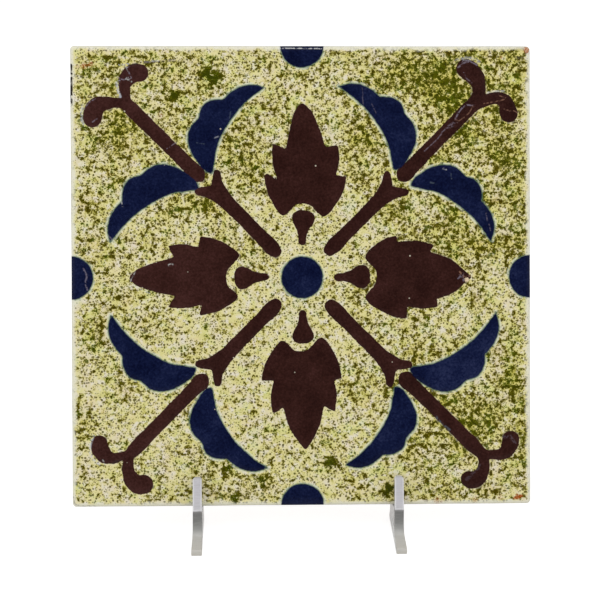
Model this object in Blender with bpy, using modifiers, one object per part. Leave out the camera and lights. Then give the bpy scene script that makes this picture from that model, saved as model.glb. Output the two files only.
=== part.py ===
"""A square glazed wall tile leaning back in a clear acrylic easel.

Metres, +Z up, the tile's face towards -Y, the origin on the table at the middle of the
object. The tile is one fired piece: its thick brown and blue glazes stand a little proud
of the cream ground and run over the rounded edge at the four half discs. The easel is two
clear side plates, each with a front foot, a ledge with a lip, a spine and a rear leg, held
apart by two round rods.
"""
import math

import bmesh
import bpy
import numpy as np
from mathutils import Matrix, Vector

MM = 0.001
SMALL_GAP = 0.0003
MERGE_DISTANCE = 0.00001

# The tile
TILE_SIDE = 0.1524
TILE_THICKNESS = 0.008
TILE_EDGE_RADIUS = 0.0013
TILE_EDGE_SEGMENTS = 3
GLAZE_RELIEF = 0.0004
GLAZE_WRAP = 0.0028
LEAN = math.radians(15.0)

# Shallow keys in the back, which hold the bedding mortar
KEY_COUNT = 7
KEY_WIDTH = 0.010
KEY_PITCH = 0.0222
KEY_DEPTH = 0.0007
KEY_MARGIN = 0.009

# The easel's side plates, which bear on two of the ribs between the keys. The tile stands a
# little to the right on them.
PLATE_THICKNESS = 0.003
PLATE_SPACING = 3 * KEY_PITCH
EASEL_DEPTH = 0.089
EASEL_SLIP = -0.0015
SEAT_HEIGHT = 0.0108
SPINE_RISE = 0.100
SPINE_DEPTH = 0.005
SPINE_TOP_RADIUS = 0.0025
LIP_CLEARANCE = 0.0008
LIP_DEPTH = 0.0037
LIP_RISE = 0.010
LIP_INNER_RADIUS = 0.0008
LIP_OUTER_RADIUS = 0.0016
NOSE_DROP = 0.0002
NOSE_RADIUS = 0.0003
TOE_REACH = 0.011
TOE_HEIGHT = 0.0020
TOE_RADIUS = 0.0008
CROOK_HEIGHT = 0.0034
CROOK_RADIUS = 0.0060
HEEL_REACH = 0.0157
HEEL_RADIUS = 0.0012
INSTEP_DROP = 0.0035
INSTEP_RADIUS = 0.0030
LEG_WIDTH = 0.009
REAR_TOE_HEIGHT = 0.0016
ARCH_RADIUS = 0.0045
FILLET_STEPS = 5

# The rods between the plates
ROD_RADIUS = 0.0025
ROD_SIDES = 20
UPPER_ROD_RISE = 0.088
LOWER_ROD_HEIGHT = 0.024

# The painted pattern is drawn in millimetres on a tile of this side, from its middle
DRAWN_SIDE = 152.4
DRAWN_SCALE = TILE_SIDE / DRAWN_SIDE
SHARP = True

DISC_MIDDLE = (0.15, -0.4)
DISC_RADIUS = 6.85
HALF_DISC_RADIUS = 7.1
HALF_DISC_OUT = 76.1
HALF_DISC_SLIPS = (0.25, -0.35, 0.05, 0.35)
DISC_STEPS = 30

# One leaf for each quarter, top, left, bottom, right, all written as if upright: its tip and
# how round that is, the middle of its base, and on each side the upper notch, upper barb, lower
# notch, lower barb and base lobe
LEAVES = (
    {
        "tip": (0.0, 57.1),
        "tip_round": 0.36,
        "base": (0.4, 23.9),
        "right": ((8.0, 42.8), (12.2, 43.4), (11.5, 33.5), (14.9, 33.0), (6.8, 19.7)),
        "left": ((-5.2, 42.0), (-9.6, 43.9), (-8.1, 32.0), (-12.5, 34.0), (-5.8, 20.1)),
    },
    {
        "tip": (-0.6, 57.1),
        "tip_round": 0.37,
        "base": (-0.9, 25.0),
        "right": ((6.4, 42.3), (10.3, 44.3), (9.7, 34.2), (13.3, 33.7), (6.6, 20.8)),
        "left": ((-6.6, 42.1), (-10.2, 44.3), (-9.4, 33.1), (-12.9, 33.8), (-6.3, 21.2)),
    },
    {
        "tip": (-1.0, 57.5),
        "tip_round": 0.26,
        "base": (0.6, 24.9),
        "right": ((6.4, 43.7), (9.9, 45.7), (9.5, 34.7), (13.5, 34.7), (6.0, 21.5)),
        "left": ((-7.3, 43.3), (-10.9, 45.1), (-10.6, 34.7), (-13.2, 34.1), (-5.9, 20.4)),
    },
    {
        "tip": (0.5, 56.5),
        "tip_round": 0.20,
        "base": (0.2, 24.8),
        "right": ((7.8, 44.9), (10.3, 45.2), (10.2, 35.0), (14.3, 34.9), (6.9, 21.1)),
        "left": ((-8.0, 42.7), (-10.4, 43.9), (-11.4, 31.6), (-13.4, 31.7), (-5.8, 21.1)),
    },
)
LEAF_FLANK_BULGE = 0.75
LEAF_STEPS = 3

# The right half of a bud, from its crown down to the end of its neck
BUD_HALF = (
    (0.0, 22.3), (2.2, 22.0), (3.7, 20.6), (3.5, 18.4), (2.1, 16.0), (1.35, 13.4), (1.0, 11.2), (0.0, 10.6),
)
BUD_STEPS = 2

# A wing beside the leaf: three lobes on its outer side, one long hollow on its inner side
WING = (
    (12.3, 63.1, SHARP), (16.6, 64.1), (20.9, 63.2), (23.9, 61.3), (25.6, 59.7, SHARP), (29.2, 59.5),
    (32.6, 57.5), (33.8, 54.0, SHARP), (36.7, 50.7), (37.5, 46.9), (36.3, 42.4), (34.6, 39.5),
    (32.0, 36.5), (30.3, 36.1), (29.7, 38.4), (28.3, 44.7), (25.7, 49.8), (21.7, 55.3), (17.6, 59.3),
)
WING_STEPS = 2

# The inner bar and its fork, and the outer bar, in steps along the diagonal and to one side
FORK_HALF = (
    (10.7, 0.0), (11.2, 1.5), (12.7, 2.2), (20.0, 2.3), (31.0, 2.35), (36.2, 2.6), (41.0, 3.7),
    (44.7, 5.4), (45.4, 4.8), (44.8, 3.0), (43.4, 1.0), (42.8, 0.0),
)
FORK_STEPS = 2
BAR_HALF = (
    (44.9, 0.0), (45.5, 1.3), (46.8, 2.5), (48.4, 2.9), (50.6, 2.6), (56.0, 2.4), (66.0, 2.35), (74.0, 2.4),
    (79.4, 2.4), (82.6, 1.8), (84.0, 0.0),
)
BAR_STEPS = 2

# The two curled arms at each bar's end, in the quarter's own frame: middle line and half widths.
# Quarters run top right, top left, bottom left, bottom right.
ARMS = (
    (
        (((56.4, 56.2), (58.7, 59.6), (59.0, 62.6), (58.0, 65.6), (55.7, 68.0), (54.6, 68.7)),
         (1.6, 2.0, 2.2, 3.0, 3.5, 3.1)),
        (((57.0, 56.2), (60.4, 57.7), (63.0, 58.7), (65.7, 58.8), (67.8, 57.4), (69.0, 53.7)),
         (1.6, 1.9, 1.9, 2.1, 2.5, 3.0)),
    ),
    (
        (((56.9, 58.2), (57.3, 61.2), (57.2, 64.2), (56.4, 67.0), (54.4, 68.5), (52.4, 68.9)),
         (1.4, 1.6, 2.2, 3.0, 3.2, 3.2)),
        (((57.2, 57.6), (59.9, 58.1), (62.4, 58.3), (65.2, 57.4), (67.0, 55.3), (67.1, 53.4)),
         (1.4, 1.7, 1.9, 2.7, 3.1, 3.0)),
    ),
    (
        (((57.2, 58.7), (59.9, 59.4), (62.9, 60.1), (65.5, 58.9), (67.0, 56.7), (67.2, 55.2)),
         (1.4, 1.4, 1.9, 2.8, 2.9, 2.8)),
        (((57.2, 59.2), (57.7, 61.9), (57.6, 64.6), (56.4, 67.4), (54.3, 68.7), (52.6, 68.7)),
         (1.4, 1.9, 2.1, 2.8, 3.3, 3.2)),
    ),
    (
        (((59.6, 60.4), (59.7, 63.0), (59.6, 66.0), (58.4, 68.0), (56.2, 69.2), (54.6, 69.4)),
         (1.6, 1.6, 1.9, 2.5, 2.9, 2.9)),
        (((58.9, 60.0), (61.9, 60.5), (64.9, 60.2), (67.4, 58.7), (68.1, 56.4), (67.9, 55.4)),
         (1.6, 1.8, 2.1, 2.7, 2.9, 2.8)),
    ),
)
ARM_STEPS = 2
CAP_STEPS = 5

# Where the hand put each copy: moved right, moved up, turned in degrees, enlarged. In each
# quarter, the copy next to the upright leaf comes first.
WING_HAND = (
    ((0.4, -0.6, 0.1, 1.02), (-0.8, 0.2, 1.3, 1.0)),
    ((-0.8, -1.0, -2.1, 1.05), (-0.1, -1.5, -2.1, 1.02)),
    ((-0.4, 0.8, 0.9, 1.0), (0.4, -0.5, -1.0, 1.02)),
    ((0.6, 0.7, -0.5, 1.05), (1.0, 0.1, -0.9, 0.95)),
)
FORK_HAND = (
    (0.2, -0.5, -0.1, 0.99), (-0.4, -0.2, -0.7, 1.01), (-0.2, 0.7, 0.2, 1.01), (1.2, 0.9, -0.1, 1.02),
)
BAR_HAND = ((0.3, -0.1, 0.4, 1.0), (-0.2, 0.5, 0.2, 0.99), (-0.8, 0.6, 0.3, 0.97), (0.6, 0.8, 0.2, 1.0))
BUD_HAND = ((0.4, -0.5, -3.1, 1.0), (-0.4, 0.1, 2.7, 1.0), (-0.3, 0.3, 1.1, 0.96), (0.3, 0.2, 2.1, 1.03))


# Outlines

def flowing(points, steps):
    """Closed outline through the points. Each run between two points is a cubic whose ends
    follow the neighbouring points, and a SHARP point breaks the flow."""
    places = np.array([point[:2] for point in points], float)
    sharp = np.array([len(point) > 2 for point in points])[:, None]
    before = np.roll(places, 1, axis=0)
    after = np.roll(places, -1, axis=0)
    length_in = np.linalg.norm(places - before, axis=1)[:, None]
    length_out = np.linalg.norm(after - places, axis=1)[:, None]
    slope_in = (places - before) / length_in
    slope_out = (after - places) / length_out
    through = (slope_in * length_out + slope_out * length_in) / (length_in + length_out)
    leaving = np.where(sharp, slope_out, through) * length_out
    arriving = np.roll(np.where(sharp, slope_in, through) * length_in, -1, axis=0)
    along = np.linspace(0.0, 1.0, steps, endpoint=False)[None, :, None]
    run = (
        (2 * along**3 - 3 * along**2 + 1) * places[:, None]
        + (along**3 - 2 * along**2 + along) * leaving[:, None]
        + (3 * along**2 - 2 * along**3) * after[:, None]
        + (along**3 - along**2) * arriving[:, None]
    )
    return run.reshape(-1, 2)


def stroke(path, half_widths, steps):
    """Outline of a brush stroke: a smooth open line through the path, the half width eased
    from point to point on both sides of it, and a half round at each end."""
    places = np.array(path, float)
    ends = np.vstack([2 * places[0] - places[1], places, 2 * places[-1] - places[-2]])
    slopes = (ends[2:] - ends[:-2]) / 2.0
    along = np.linspace(0.0, 1.0, steps, endpoint=False)[None, :, None]
    run = (
        (2 * along**3 - 3 * along**2 + 1) * places[:-1, None]
        + (along**3 - 2 * along**2 + along) * slopes[:-1, None]
        + (3 * along**2 - 2 * along**3) * places[1:, None]
        + (along**3 - along**2) * slopes[1:, None]
    )
    middle = np.vstack([run.reshape(-1, 2), places[-1:]])
    widths = np.array(half_widths, float)
    eased = 3 * along[0, :, 0] ** 2 - 2 * along[0, :, 0] ** 3
    width = np.outer(widths[:-1], 1 - eased) + np.outer(widths[1:], eased)
    width = np.append(width.ravel(), widths[-1])[:, None]
    tangent = np.gradient(middle, axis=0)
    tangent /= np.linalg.norm(tangent, axis=1)[:, None]
    normal = np.stack([-tangent[:, 1], tangent[:, 0]], axis=1)
    angle = np.linspace(0.0, math.pi, CAP_STEPS + 2)[1:-1, None]
    far_cap = middle[-1] + width[-1] * (np.cos(angle) * normal[-1] + np.sin(angle) * tangent[-1])
    near_cap = middle[0] - width[0] * (np.cos(angle) * normal[0] + np.sin(angle) * tangent[0])
    return np.vstack([middle + normal * width, far_cap, (middle - normal * width)[::-1], near_cap])


def circle(middle, radius, steps):
    """Round outline about the middle."""
    angle = np.arange(steps) * (2 * math.pi / steps)
    return np.array(middle) + radius * np.stack([np.cos(angle), np.sin(angle)], axis=1)


def by_hand(outline, hand):
    """The outline turned and enlarged about its own middle, then moved."""
    right, up, turn, enlarged = hand
    middle = outline.mean(axis=0)
    cosine = math.cos(math.radians(turn)) * enlarged
    sine = math.sin(math.radians(turn)) * enlarged
    turned = (outline - middle) @ np.array([[cosine, sine], [-sine, cosine]])
    return middle + turned + np.array([right, up])


def in_quarter(outline, quarter):
    """The outline turned by quarter turns about the tile's middle."""
    for _ in range(quarter):
        outline = np.stack([-outline[:, 1], outline[:, 0]], axis=1)
    return outline


def across_diagonal(outline):
    """The outline mirrored in the diagonal of its quarter."""
    return outline[::-1, ::-1]


def leaf_side(tip, tip_round, base, side, outward):
    """Points of one side of a leaf, from its tip to its base."""
    upper_notch, upper_barb, lower_notch, lower_barb, lobe = (np.array(place) for place in side)
    tip = np.array(tip)
    base = np.array(base)

    def between(first, second, share_x, share_y):
        return first + (second - first) * np.array([share_x, share_y])

    return [
        tuple(between(tip, upper_notch, tip_round, 0.14)),
        tuple(between(tip, upper_notch, 0.68, 0.48)),
        (*upper_notch, SHARP),
        tuple(between(upper_notch, upper_barb, 0.48, 0.55)),
        (*upper_barb, SHARP),
        tuple(between(upper_barb, lower_notch, 0.5, 0.5) + np.array([outward * LEAF_FLANK_BULGE, 0.0])),
        (*lower_notch, SHARP),
        tuple(between(lower_notch, lower_barb, 0.82, 1.0)),
        (*lower_barb, SHARP),
        tuple(between(lower_barb, lobe, 0.08, 0.28)),
        tuple(between(lower_barb, lobe, 0.38, 0.66)),
        tuple(lobe),
        tuple(between(lobe, base, 0.30, 0.38)),
        tuple(between(lobe, base, 0.62, 0.90)),
    ]


def leaf(tip, tip_round, base, right, left):
    """Outline of one barbed leaf."""
    down = leaf_side(tip, tip_round, base, right, 1)
    up = leaf_side(tip, tip_round, base, left, -1)[::-1]
    return flowing([tip] + down + [base] + up, LEAF_STEPS)


def both_halves(half):
    """A half outline and its mirror image, as one ring of points."""
    return list(half) + [(-x, y) for x, y in half[-2:0:-1]]


def on_diagonal(half, steps):
    """Outline of a piece that lies along the diagonal, from its half in steps along and aside."""
    ring = list(half) + [(along, -aside) for along, aside in half[-2:0:-1]]
    root = math.sqrt(2.0)
    return flowing([((along - aside) / root, (along + aside) / root) for along, aside in ring], steps)


def brown_outlines():
    """Groups of brown outlines; those in one group stand clear of each other."""
    separate = []
    bars = []
    first_arms = []
    second_arms = []
    for quarter in range(4):
        separate.append(in_quarter(leaf(**LEAVES[quarter]), quarter))
        bud = by_hand(flowing(both_halves(BUD_HALF), BUD_STEPS), BUD_HAND[quarter])
        separate.append(in_quarter(bud, quarter))
        fork = by_hand(on_diagonal(FORK_HALF, FORK_STEPS), FORK_HAND[quarter])
        separate.append(in_quarter(fork, quarter))
        bar = by_hand(on_diagonal(BAR_HALF, BAR_STEPS), BAR_HAND[quarter])
        bars.append(in_quarter(bar, quarter))
        first_arm, second_arm = ARMS[quarter]
        first_arms.append(in_quarter(stroke(*first_arm, ARM_STEPS), quarter))
        second_arms.append(in_quarter(stroke(*second_arm, ARM_STEPS), quarter))
    return [separate, bars, first_arms, second_arms]


def blue_outlines():
    """Groups of blue outlines."""
    separate = [circle(DISC_MIDDLE, DISC_RADIUS, DISC_STEPS)]
    for quarter in range(4):
        half_disc = circle((HALF_DISC_SLIPS[quarter], HALF_DISC_OUT), HALF_DISC_RADIUS, DISC_STEPS)
        separate.append(in_quarter(half_disc, quarter))
        wing = flowing(WING, WING_STEPS)
        first_hand, second_hand = WING_HAND[quarter]
        separate.append(in_quarter(by_hand(wing, first_hand), quarter))
        separate.append(in_quarter(across_diagonal(by_hand(wing, second_hand)), quarter))
    return [separate]


# Blender objects

def clear_scene():
    """Remove the objects that are already there."""
    for old in list(bpy.data.objects):
        bpy.data.objects.remove(old, do_unlink=True)


def new_collection(name):
    """A collection under the scene's own."""
    collection = bpy.data.collections.new(name)
    bpy.context.scene.collection.children.link(collection)
    return collection


def new_material(name, colour, roughness, transmission=0.0, alpha=1.0):
    """A Principled material of one colour."""
    material = bpy.data.materials.new(name)
    material.use_nodes = True
    shader = material.node_tree.nodes["Principled BSDF"]
    shader.inputs["Base Color"].default_value = (*colour, 1.0)
    shader.inputs["Roughness"].default_value = roughness
    shader.inputs["Transmission Weight"].default_value = transmission
    shader.inputs["Alpha"].default_value = alpha
    material.diffuse_color = (*colour, alpha)
    return material


def new_object(name, data, collection, parent=None):
    """Link an object with this data, under the parent if there is one."""
    made = bpy.data.objects.new(name, data)
    collection.objects.link(made)
    made.parent = parent
    return made


def hide_helper(helper):
    """A cutter is drawn as a wire and never rendered."""
    helper.hide_render = True
    helper.display_type = "WIRE"


def flat_plate(name, outlines, half_depth, collection, material, parent=None):
    """Closed plate from flat outlines in its own XY plane, half_depth to each side of it."""
    data = bpy.data.curves.new(name + "_outline", "CURVE")
    data.dimensions = "2D"
    data.fill_mode = "BOTH"
    data.extrude = half_depth
    for outline in outlines:
        spline = data.splines.new("POLY")
        spline.points.add(len(outline) - 1)
        spline.points.foreach_set("co", np.pad(outline, ((0, 0), (0, 2))).ravel())
        spline.use_cyclic_u = True
    drawn = new_object(name + "_drawn", data, collection)
    bpy.context.view_layer.update()
    evaluated = drawn.evaluated_get(bpy.context.evaluated_depsgraph_get())
    mesh = bpy.data.meshes.new_from_object(evaluated)
    bpy.data.objects.remove(drawn, do_unlink=True)
    mesh.name = name
    working = bmesh.new()
    working.from_mesh(mesh)
    bmesh.ops.remove_doubles(working, verts=working.verts, dist=MERGE_DISTANCE)
    bmesh.ops.recalc_face_normals(working, faces=working.faces)
    working.to_mesh(mesh)
    working.free()
    mesh.materials.clear()
    mesh.materials.append(material)
    return new_object(name, mesh, collection, parent)


def block(name, size, middle, collection, material, parent=None):
    """A box of this size about its middle."""
    mesh = bpy.data.meshes.new(name)
    working = bmesh.new()
    bmesh.ops.create_cube(working, size=1.0)
    bmesh.ops.scale(working, vec=Vector(size), verts=working.verts)
    bmesh.ops.translate(working, vec=Vector(middle), verts=working.verts)
    working.to_mesh(mesh)
    working.free()
    mesh.materials.append(material)
    return new_object(name, mesh, collection, parent)


def add_boolean(target, operation, other):
    """Join, cut or keep the overlap with another object; the other's faces keep their colour."""
    modifier = target.modifiers.new(operation.lower() + "_" + other.name, "BOOLEAN")
    modifier.operation = operation
    modifier.solver = "EXACT"
    modifier.material_mode = "TRANSFER"
    modifier.object = other


def tile_blank(name, growth, collection, material, frame):
    """The tile without its glaze relief: a slab with all arrises rounded, grown evenly all round.
    Its face lies in the frame's XY plane, raised by the growth."""
    side = TILE_SIDE + 2 * growth
    thickness = TILE_THICKNESS + 2 * growth
    blank = block(name, (side, side, thickness), (0.0, 0.0, -TILE_THICKNESS / 2), collection, material, frame)
    rounding = blank.modifiers.new("rounded_arrises", "BEVEL")
    rounding.width = TILE_EDGE_RADIUS + growth
    rounding.segments = TILE_EDGE_SEGMENTS
    rounding.limit_method = "ANGLE"
    return blank


def glaze_relief(name, groups, grown, cutters, material, frame):
    """Raised glaze: the outlines as low prisms, joined, and kept where the grown tile reaches."""
    half_depth = (GLAZE_WRAP + 2 * GLAZE_RELIEF) / 2
    prisms = []
    for number, outlines in enumerate(groups):
        scaled = [outline * DRAWN_SCALE for outline in outlines]
        prism = flat_plate(f"{name}_{number}", scaled, half_depth, cutters, material, frame)
        prism.location.z = 2 * GLAZE_RELIEF - half_depth
        hide_helper(prism)
        prisms.append(prism)
    relief = prisms[0]
    for other in prisms[1:]:
        add_boolean(relief, "UNION", other)
    add_boolean(relief, "INTERSECT", grown)
    return relief


def make_tile(collection, cutters, frame):
    """The tile: slab, brown and blue glaze, and keys in the back."""
    cream = new_material("cream_glaze", (0.66, 0.60, 0.36), 0.35)
    brown = new_material("brown_glaze", (0.035, 0.012, 0.012), 0.25)
    blue = new_material("blue_glaze", (0.007, 0.010, 0.035), 0.25)
    clay = new_material("fired_clay", (0.62, 0.45, 0.30), 0.85)
    tile = tile_blank("tile", 0.0, collection, cream, frame)
    grown = tile_blank("grown_tile", GLAZE_RELIEF, cutters, cream, frame)
    hide_helper(grown)
    brown_relief = glaze_relief("brown_relief", brown_outlines(), grown, cutters, brown, frame)
    blue_relief = glaze_relief("blue_relief", blue_outlines(), grown, cutters, blue, frame)
    add_boolean(tile, "UNION", brown_relief)
    add_boolean(tile, "UNION", blue_relief)
    key_length = TILE_SIDE - 2 * KEY_MARGIN
    first_key = -KEY_PITCH * (KEY_COUNT - 1) / 2
    for number in range(KEY_COUNT):
        middle = (first_key + number * KEY_PITCH, 0.0, -TILE_THICKNESS)
        key = block(f"key_{number}", (KEY_WIDTH, key_length, 2 * KEY_DEPTH), middle, cutters, clay, frame)
        hide_helper(key)
        add_boolean(tile, "DIFFERENCE", key)
    return tile


def rounded(corners):
    """Closed outline with straight sides. A corner is y, z and a radius; the radius is held to
    what its two sides can take, and a corner without one stays sharp."""
    outline = []
    count = len(corners)
    for number in range(count):
        y, z, radius = corners[number]
        corner = Vector((y, z))
        to_before = Vector(corners[number - 1][:2]) - corner
        to_after = Vector(corners[(number + 1) % count][:2]) - corner
        if radius <= 0.0:
            outline.append(tuple(corner))
            continue
        half_angle = to_before.angle(to_after) / 2
        reach = min(radius / math.tan(half_angle), 0.45 * to_before.length, 0.45 * to_after.length)
        held = reach * math.tan(half_angle)
        inward = (to_before.normalized() + to_after.normalized()).normalized()
        middle = corner + inward * held / math.sin(half_angle)
        start = corner + to_before.normalized() * reach - middle
        sweep = start.angle_signed(corner + to_after.normalized() * reach - middle)
        for step in range(FILLET_STEPS + 1):
            angle = -sweep * step / FILLET_STEPS
            turned = Matrix.Rotation(angle, 2) @ start
            outline.append(tuple(middle + turned))
    return np.array(outline)


class Seat:
    """Where the tile's lower front edge stands, and steps back through the tile and up along it."""

    def __init__(self):
        self.front = -EASEL_DEPTH / 2
        self.rear = EASEL_DEPTH / 2
        self.lip_front = LIP_CLEARANCE + LIP_DEPTH
        self.spine_face = TILE_THICKNESS + SMALL_GAP
        self.spine_back = self.spine_face + SPINE_DEPTH
        drop = NOSE_DROP + SMALL_GAP
        reach = self.lip_front * math.cos(LEAN) + drop * math.sin(LEAN)
        self.y = self.front + TOE_REACH + reach
        self.z = SEAT_HEIGHT

    def at(self, back, up):
        """World y and z of a point so far back through the tile and so far up along it."""
        y = self.y + back * math.cos(LEAN) + up * math.sin(LEAN)
        z = self.z - back * math.sin(LEAN) + up * math.cos(LEAN)
        return y, z

    def leg_line(self):
        """Top and foot of the rear leg's outer edge, and the unit step from it into the leg."""
        top = Vector(self.at(self.spine_back, SPINE_RISE))
        foot = Vector((self.rear, REAR_TOE_HEIGHT))
        down = (foot - top).normalized()
        return top, foot, Vector((down.y, -down.x))

    def arch_top(self):
        """Where the rear leg's inner edge meets the back of the spine."""
        top, foot, inward = self.leg_line()
        start = top + inward * LEG_WIDTH
        down = (foot - top).normalized()
        low = Vector(self.at(self.spine_back, 0.0))
        spine = Vector(self.at(self.spine_back, 1.0)) - low
        across = start - low
        share = (across.x * down.y - across.y * down.x) / (spine.x * down.y - spine.y * down.x)
        return tuple(low + spine * share)

    def leg_heel(self):
        """Where the rear leg's inner edge meets the table."""
        top, foot, inward = self.leg_line()
        down = (foot - top).normalized()
        start = top + inward * LEG_WIDTH
        return tuple(start + down * (start.y / -down.y))


def side_plate_outline(seat):
    """Profile of a side plate, from the toe along the sole and round: y and z."""
    nose = seat.at(-seat.lip_front, -SMALL_GAP - NOSE_DROP)
    return rounded([
        (seat.front, 0.0, TOE_RADIUS),
        (seat.y + HEEL_REACH, 0.0, HEEL_RADIUS),
        (*seat.at(seat.spine_back, -INSTEP_DROP), INSTEP_RADIUS),
        (*seat.arch_top(), ARCH_RADIUS),
        (*seat.leg_heel(), 0.0),
        (seat.rear, 0.0, NOSE_RADIUS),
        (seat.rear, REAR_TOE_HEIGHT, TOE_RADIUS),
        (*seat.at(seat.spine_back, SPINE_RISE), SPINE_TOP_RADIUS),
        (*seat.at(seat.spine_face, SPINE_RISE), SPINE_TOP_RADIUS),
        (*seat.at(seat.spine_face, -SMALL_GAP), 0.0),
        (*seat.at(-LIP_CLEARANCE, -SMALL_GAP), 0.0),
        (*seat.at(-LIP_CLEARANCE, LIP_RISE), LIP_INNER_RADIUS),
        (*seat.at(-seat.lip_front, LIP_RISE), LIP_OUTER_RADIUS),
        (*nose, NOSE_RADIUS),
        (nose[0], CROOK_HEIGHT, CROOK_RADIUS),
        (seat.front, TOE_HEIGHT, TOE_RADIUS),
    ])


def make_side_plates(collection, seat, acrylic):
    """The two side plates, the same profile left and right."""
    outline = side_plate_outline(seat)
    upright = Matrix(((0, 0, 1, 0), (1, 0, 0, 0), (0, 1, 0, 0), (0, 0, 0, 1)))
    for name, side in (("left_side_plate", -1), ("right_side_plate", 1)):
        plate = flat_plate(name, [outline], PLATE_THICKNESS / 2, collection, acrylic)
        middle = EASEL_SLIP + side * PLATE_SPACING / 2
        plate.matrix_world = Matrix.Translation((middle, 0.0, 0.0)) @ upright


def make_rod(name, place, collection, acrylic):
    """A round rod between the plates, its middle at this y and z."""
    length = PLATE_SPACING - PLATE_THICKNESS - 2 * SMALL_GAP
    mesh = bpy.data.meshes.new(name)
    working = bmesh.new()
    bmesh.ops.create_cone(
        working, cap_ends=True, segments=ROD_SIDES, radius1=ROD_RADIUS, radius2=ROD_RADIUS, depth=length,
    )
    working.to_mesh(mesh)
    working.free()
    mesh.materials.append(acrylic)
    mesh.shade_smooth()
    mesh.set_sharp_from_angle(angle=math.radians(40.0))
    rod = new_object(name, mesh, collection)
    rod.location = (EASEL_SLIP, *place)
    rod.rotation_euler = (0.0, math.radians(90.0), 0.0)


def make_rods(collection, seat, acrylic):
    """The upper rod above the arch, and the lower rod in the middle of the rear legs."""
    make_rod("upper_rod", seat.at(seat.spine_back, UPPER_ROD_RISE), collection, acrylic)
    top, foot, inward = seat.leg_line()
    share = (top.y - LOWER_ROD_HEIGHT) / (top.y - foot.y)
    lower = top.lerp(foot, share) + inward * LEG_WIDTH / 2
    make_rod("lower_rod", tuple(lower), collection, acrylic)


def make_tile_frame(collection, seat):
    """An empty at the middle of the tile's face: X across, Y up the tile, Z out of the face."""
    frame = new_object("tile_frame", None, collection)
    y, z = seat.at(0.0, TILE_SIDE / 2)
    frame.location = (0.0, y, z)
    frame.rotation_euler = (math.pi / 2 - LEAN, 0.0, 0.0)
    return frame


def main():
    """Build the object."""
    clear_scene()
    collection = new_collection("glazed_tile_on_easel")
    cutters = new_collection("cutters")
    seat = Seat()
    make_tile(collection, cutters, make_tile_frame(collection, seat))
    acrylic = new_material("clear_acrylic", (0.93, 0.95, 0.95), 0.06, transmission=0.9, alpha=0.35)
    make_side_plates(collection, seat, acrylic)
    make_rods(collection, seat, acrylic)


main()
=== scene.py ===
"""A square glazed wall tile leaning back in a clear acrylic easel.

Run it as a script. It is laid out as an add-on: sizes and colours are properties of the
scene, each piece has its own operator, and a panel in the 3D view's sidebar lists them.
World units are metres, +Z is up and the tile's face looks towards -Y. The pattern is drawn
in millimetres from the middle of the face, across and up the tile.
"""
import math
from functools import cached_property

import bpy
import numpy as np
from mathutils import Euler, Matrix, Vector


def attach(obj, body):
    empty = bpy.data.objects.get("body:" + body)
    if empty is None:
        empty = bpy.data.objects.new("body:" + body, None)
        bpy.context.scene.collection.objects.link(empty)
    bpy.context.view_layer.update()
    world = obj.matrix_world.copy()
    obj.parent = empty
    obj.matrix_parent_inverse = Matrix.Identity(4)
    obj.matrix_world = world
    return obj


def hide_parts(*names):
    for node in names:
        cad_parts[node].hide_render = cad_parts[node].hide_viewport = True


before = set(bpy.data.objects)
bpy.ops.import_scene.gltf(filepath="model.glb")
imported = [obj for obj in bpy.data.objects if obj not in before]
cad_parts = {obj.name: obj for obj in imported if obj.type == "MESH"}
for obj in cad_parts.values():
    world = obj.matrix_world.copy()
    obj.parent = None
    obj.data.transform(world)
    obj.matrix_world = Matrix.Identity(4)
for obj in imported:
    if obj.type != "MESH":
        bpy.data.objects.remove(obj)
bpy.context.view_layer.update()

bl_info = {
    "name": "Glazed tile on an easel",
    "version": (1, 0, 0),
    "blender": (4, 5, 0),
    "location": "3D View > Sidebar > Tile",
    "description": "Builds a glazed wall tile in a clear acrylic easel, and its stage",
    "category": "Object",
}

MM = 0.001
BODY = "root"

# Rows of the tile's mesh
CELL = 0.555
ROUND_ROWS = 3
SIDE_ROWS = (0.0, 0.6, 1.2, 1.8, 3.0, 4.2)
KEY_HALF_CELLS = 9
KEY_PITCH_CELLS = 40
KEY_END_CELLS = 121
KEYS = range(-3, 4)
BACK_ROW_STEP = 11
BACK_ROW_REACH = 110

ACRYLIC_IOR = 1.49
GLAZE_IOR = 1.18

# Degrees between two faces from which their edge shows as a crease, by slot
CREASE = {"glaze": 45.0, "acrylic": 30.0}

# The map for the finish: shares of its width, but MAP_MARGIN in millimetres
MAP_MARGIN = 1.0
MAP_EDGE = 0.005
MAP_FACE_CORNER = (0.005, 0.19)
MAP_FACE_WIDTH = 0.8
MAP_STRIP_PITCH = 0.044
MAP_STRIP_HEIGHT = 0.04
MAP_BACK_CORNER = (0.81, 0.80)
MAP_BACK_WIDTH = 0.185

# Painted edges, and the relief of the glaze
RESAMPLE = 0.45
FAR = 6.0
NOOK = 0.8
SNAP_SHARE = 0.52
LEAST_SLOPE = 0.3
RELIEF_END = 0.4
RELIEF_FADE = 2.2
CHIP_DEPTH = 0.45
CHIP_RIM = 0.35

# Waves in the glaze: rise, wavelength and seed, of its lower end and then of its surface
WAVE_COUNT = 6
WAVE_SPREAD = (0.7, 1.5)
RUN_WAVES = (0.6, 5.0, 3)
FACE_WAVES = ((0.05, 26.0, 5), (0.02, 9.0, 8))

# The pattern, from the middle of the face
DRAWN_SIDE = 152.4
SHARP = True
DISC_MIDDLE = (0.15, -0.4)
DISC_RADIUS = 6.85
HALF_DISC_RADIUS = 7.1
HALF_DISC_OUT = 76.1
HALF_DISC_SLIPS = (0.25, -0.35, 0.05, 0.35)
DISC_STEPS = 90

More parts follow.
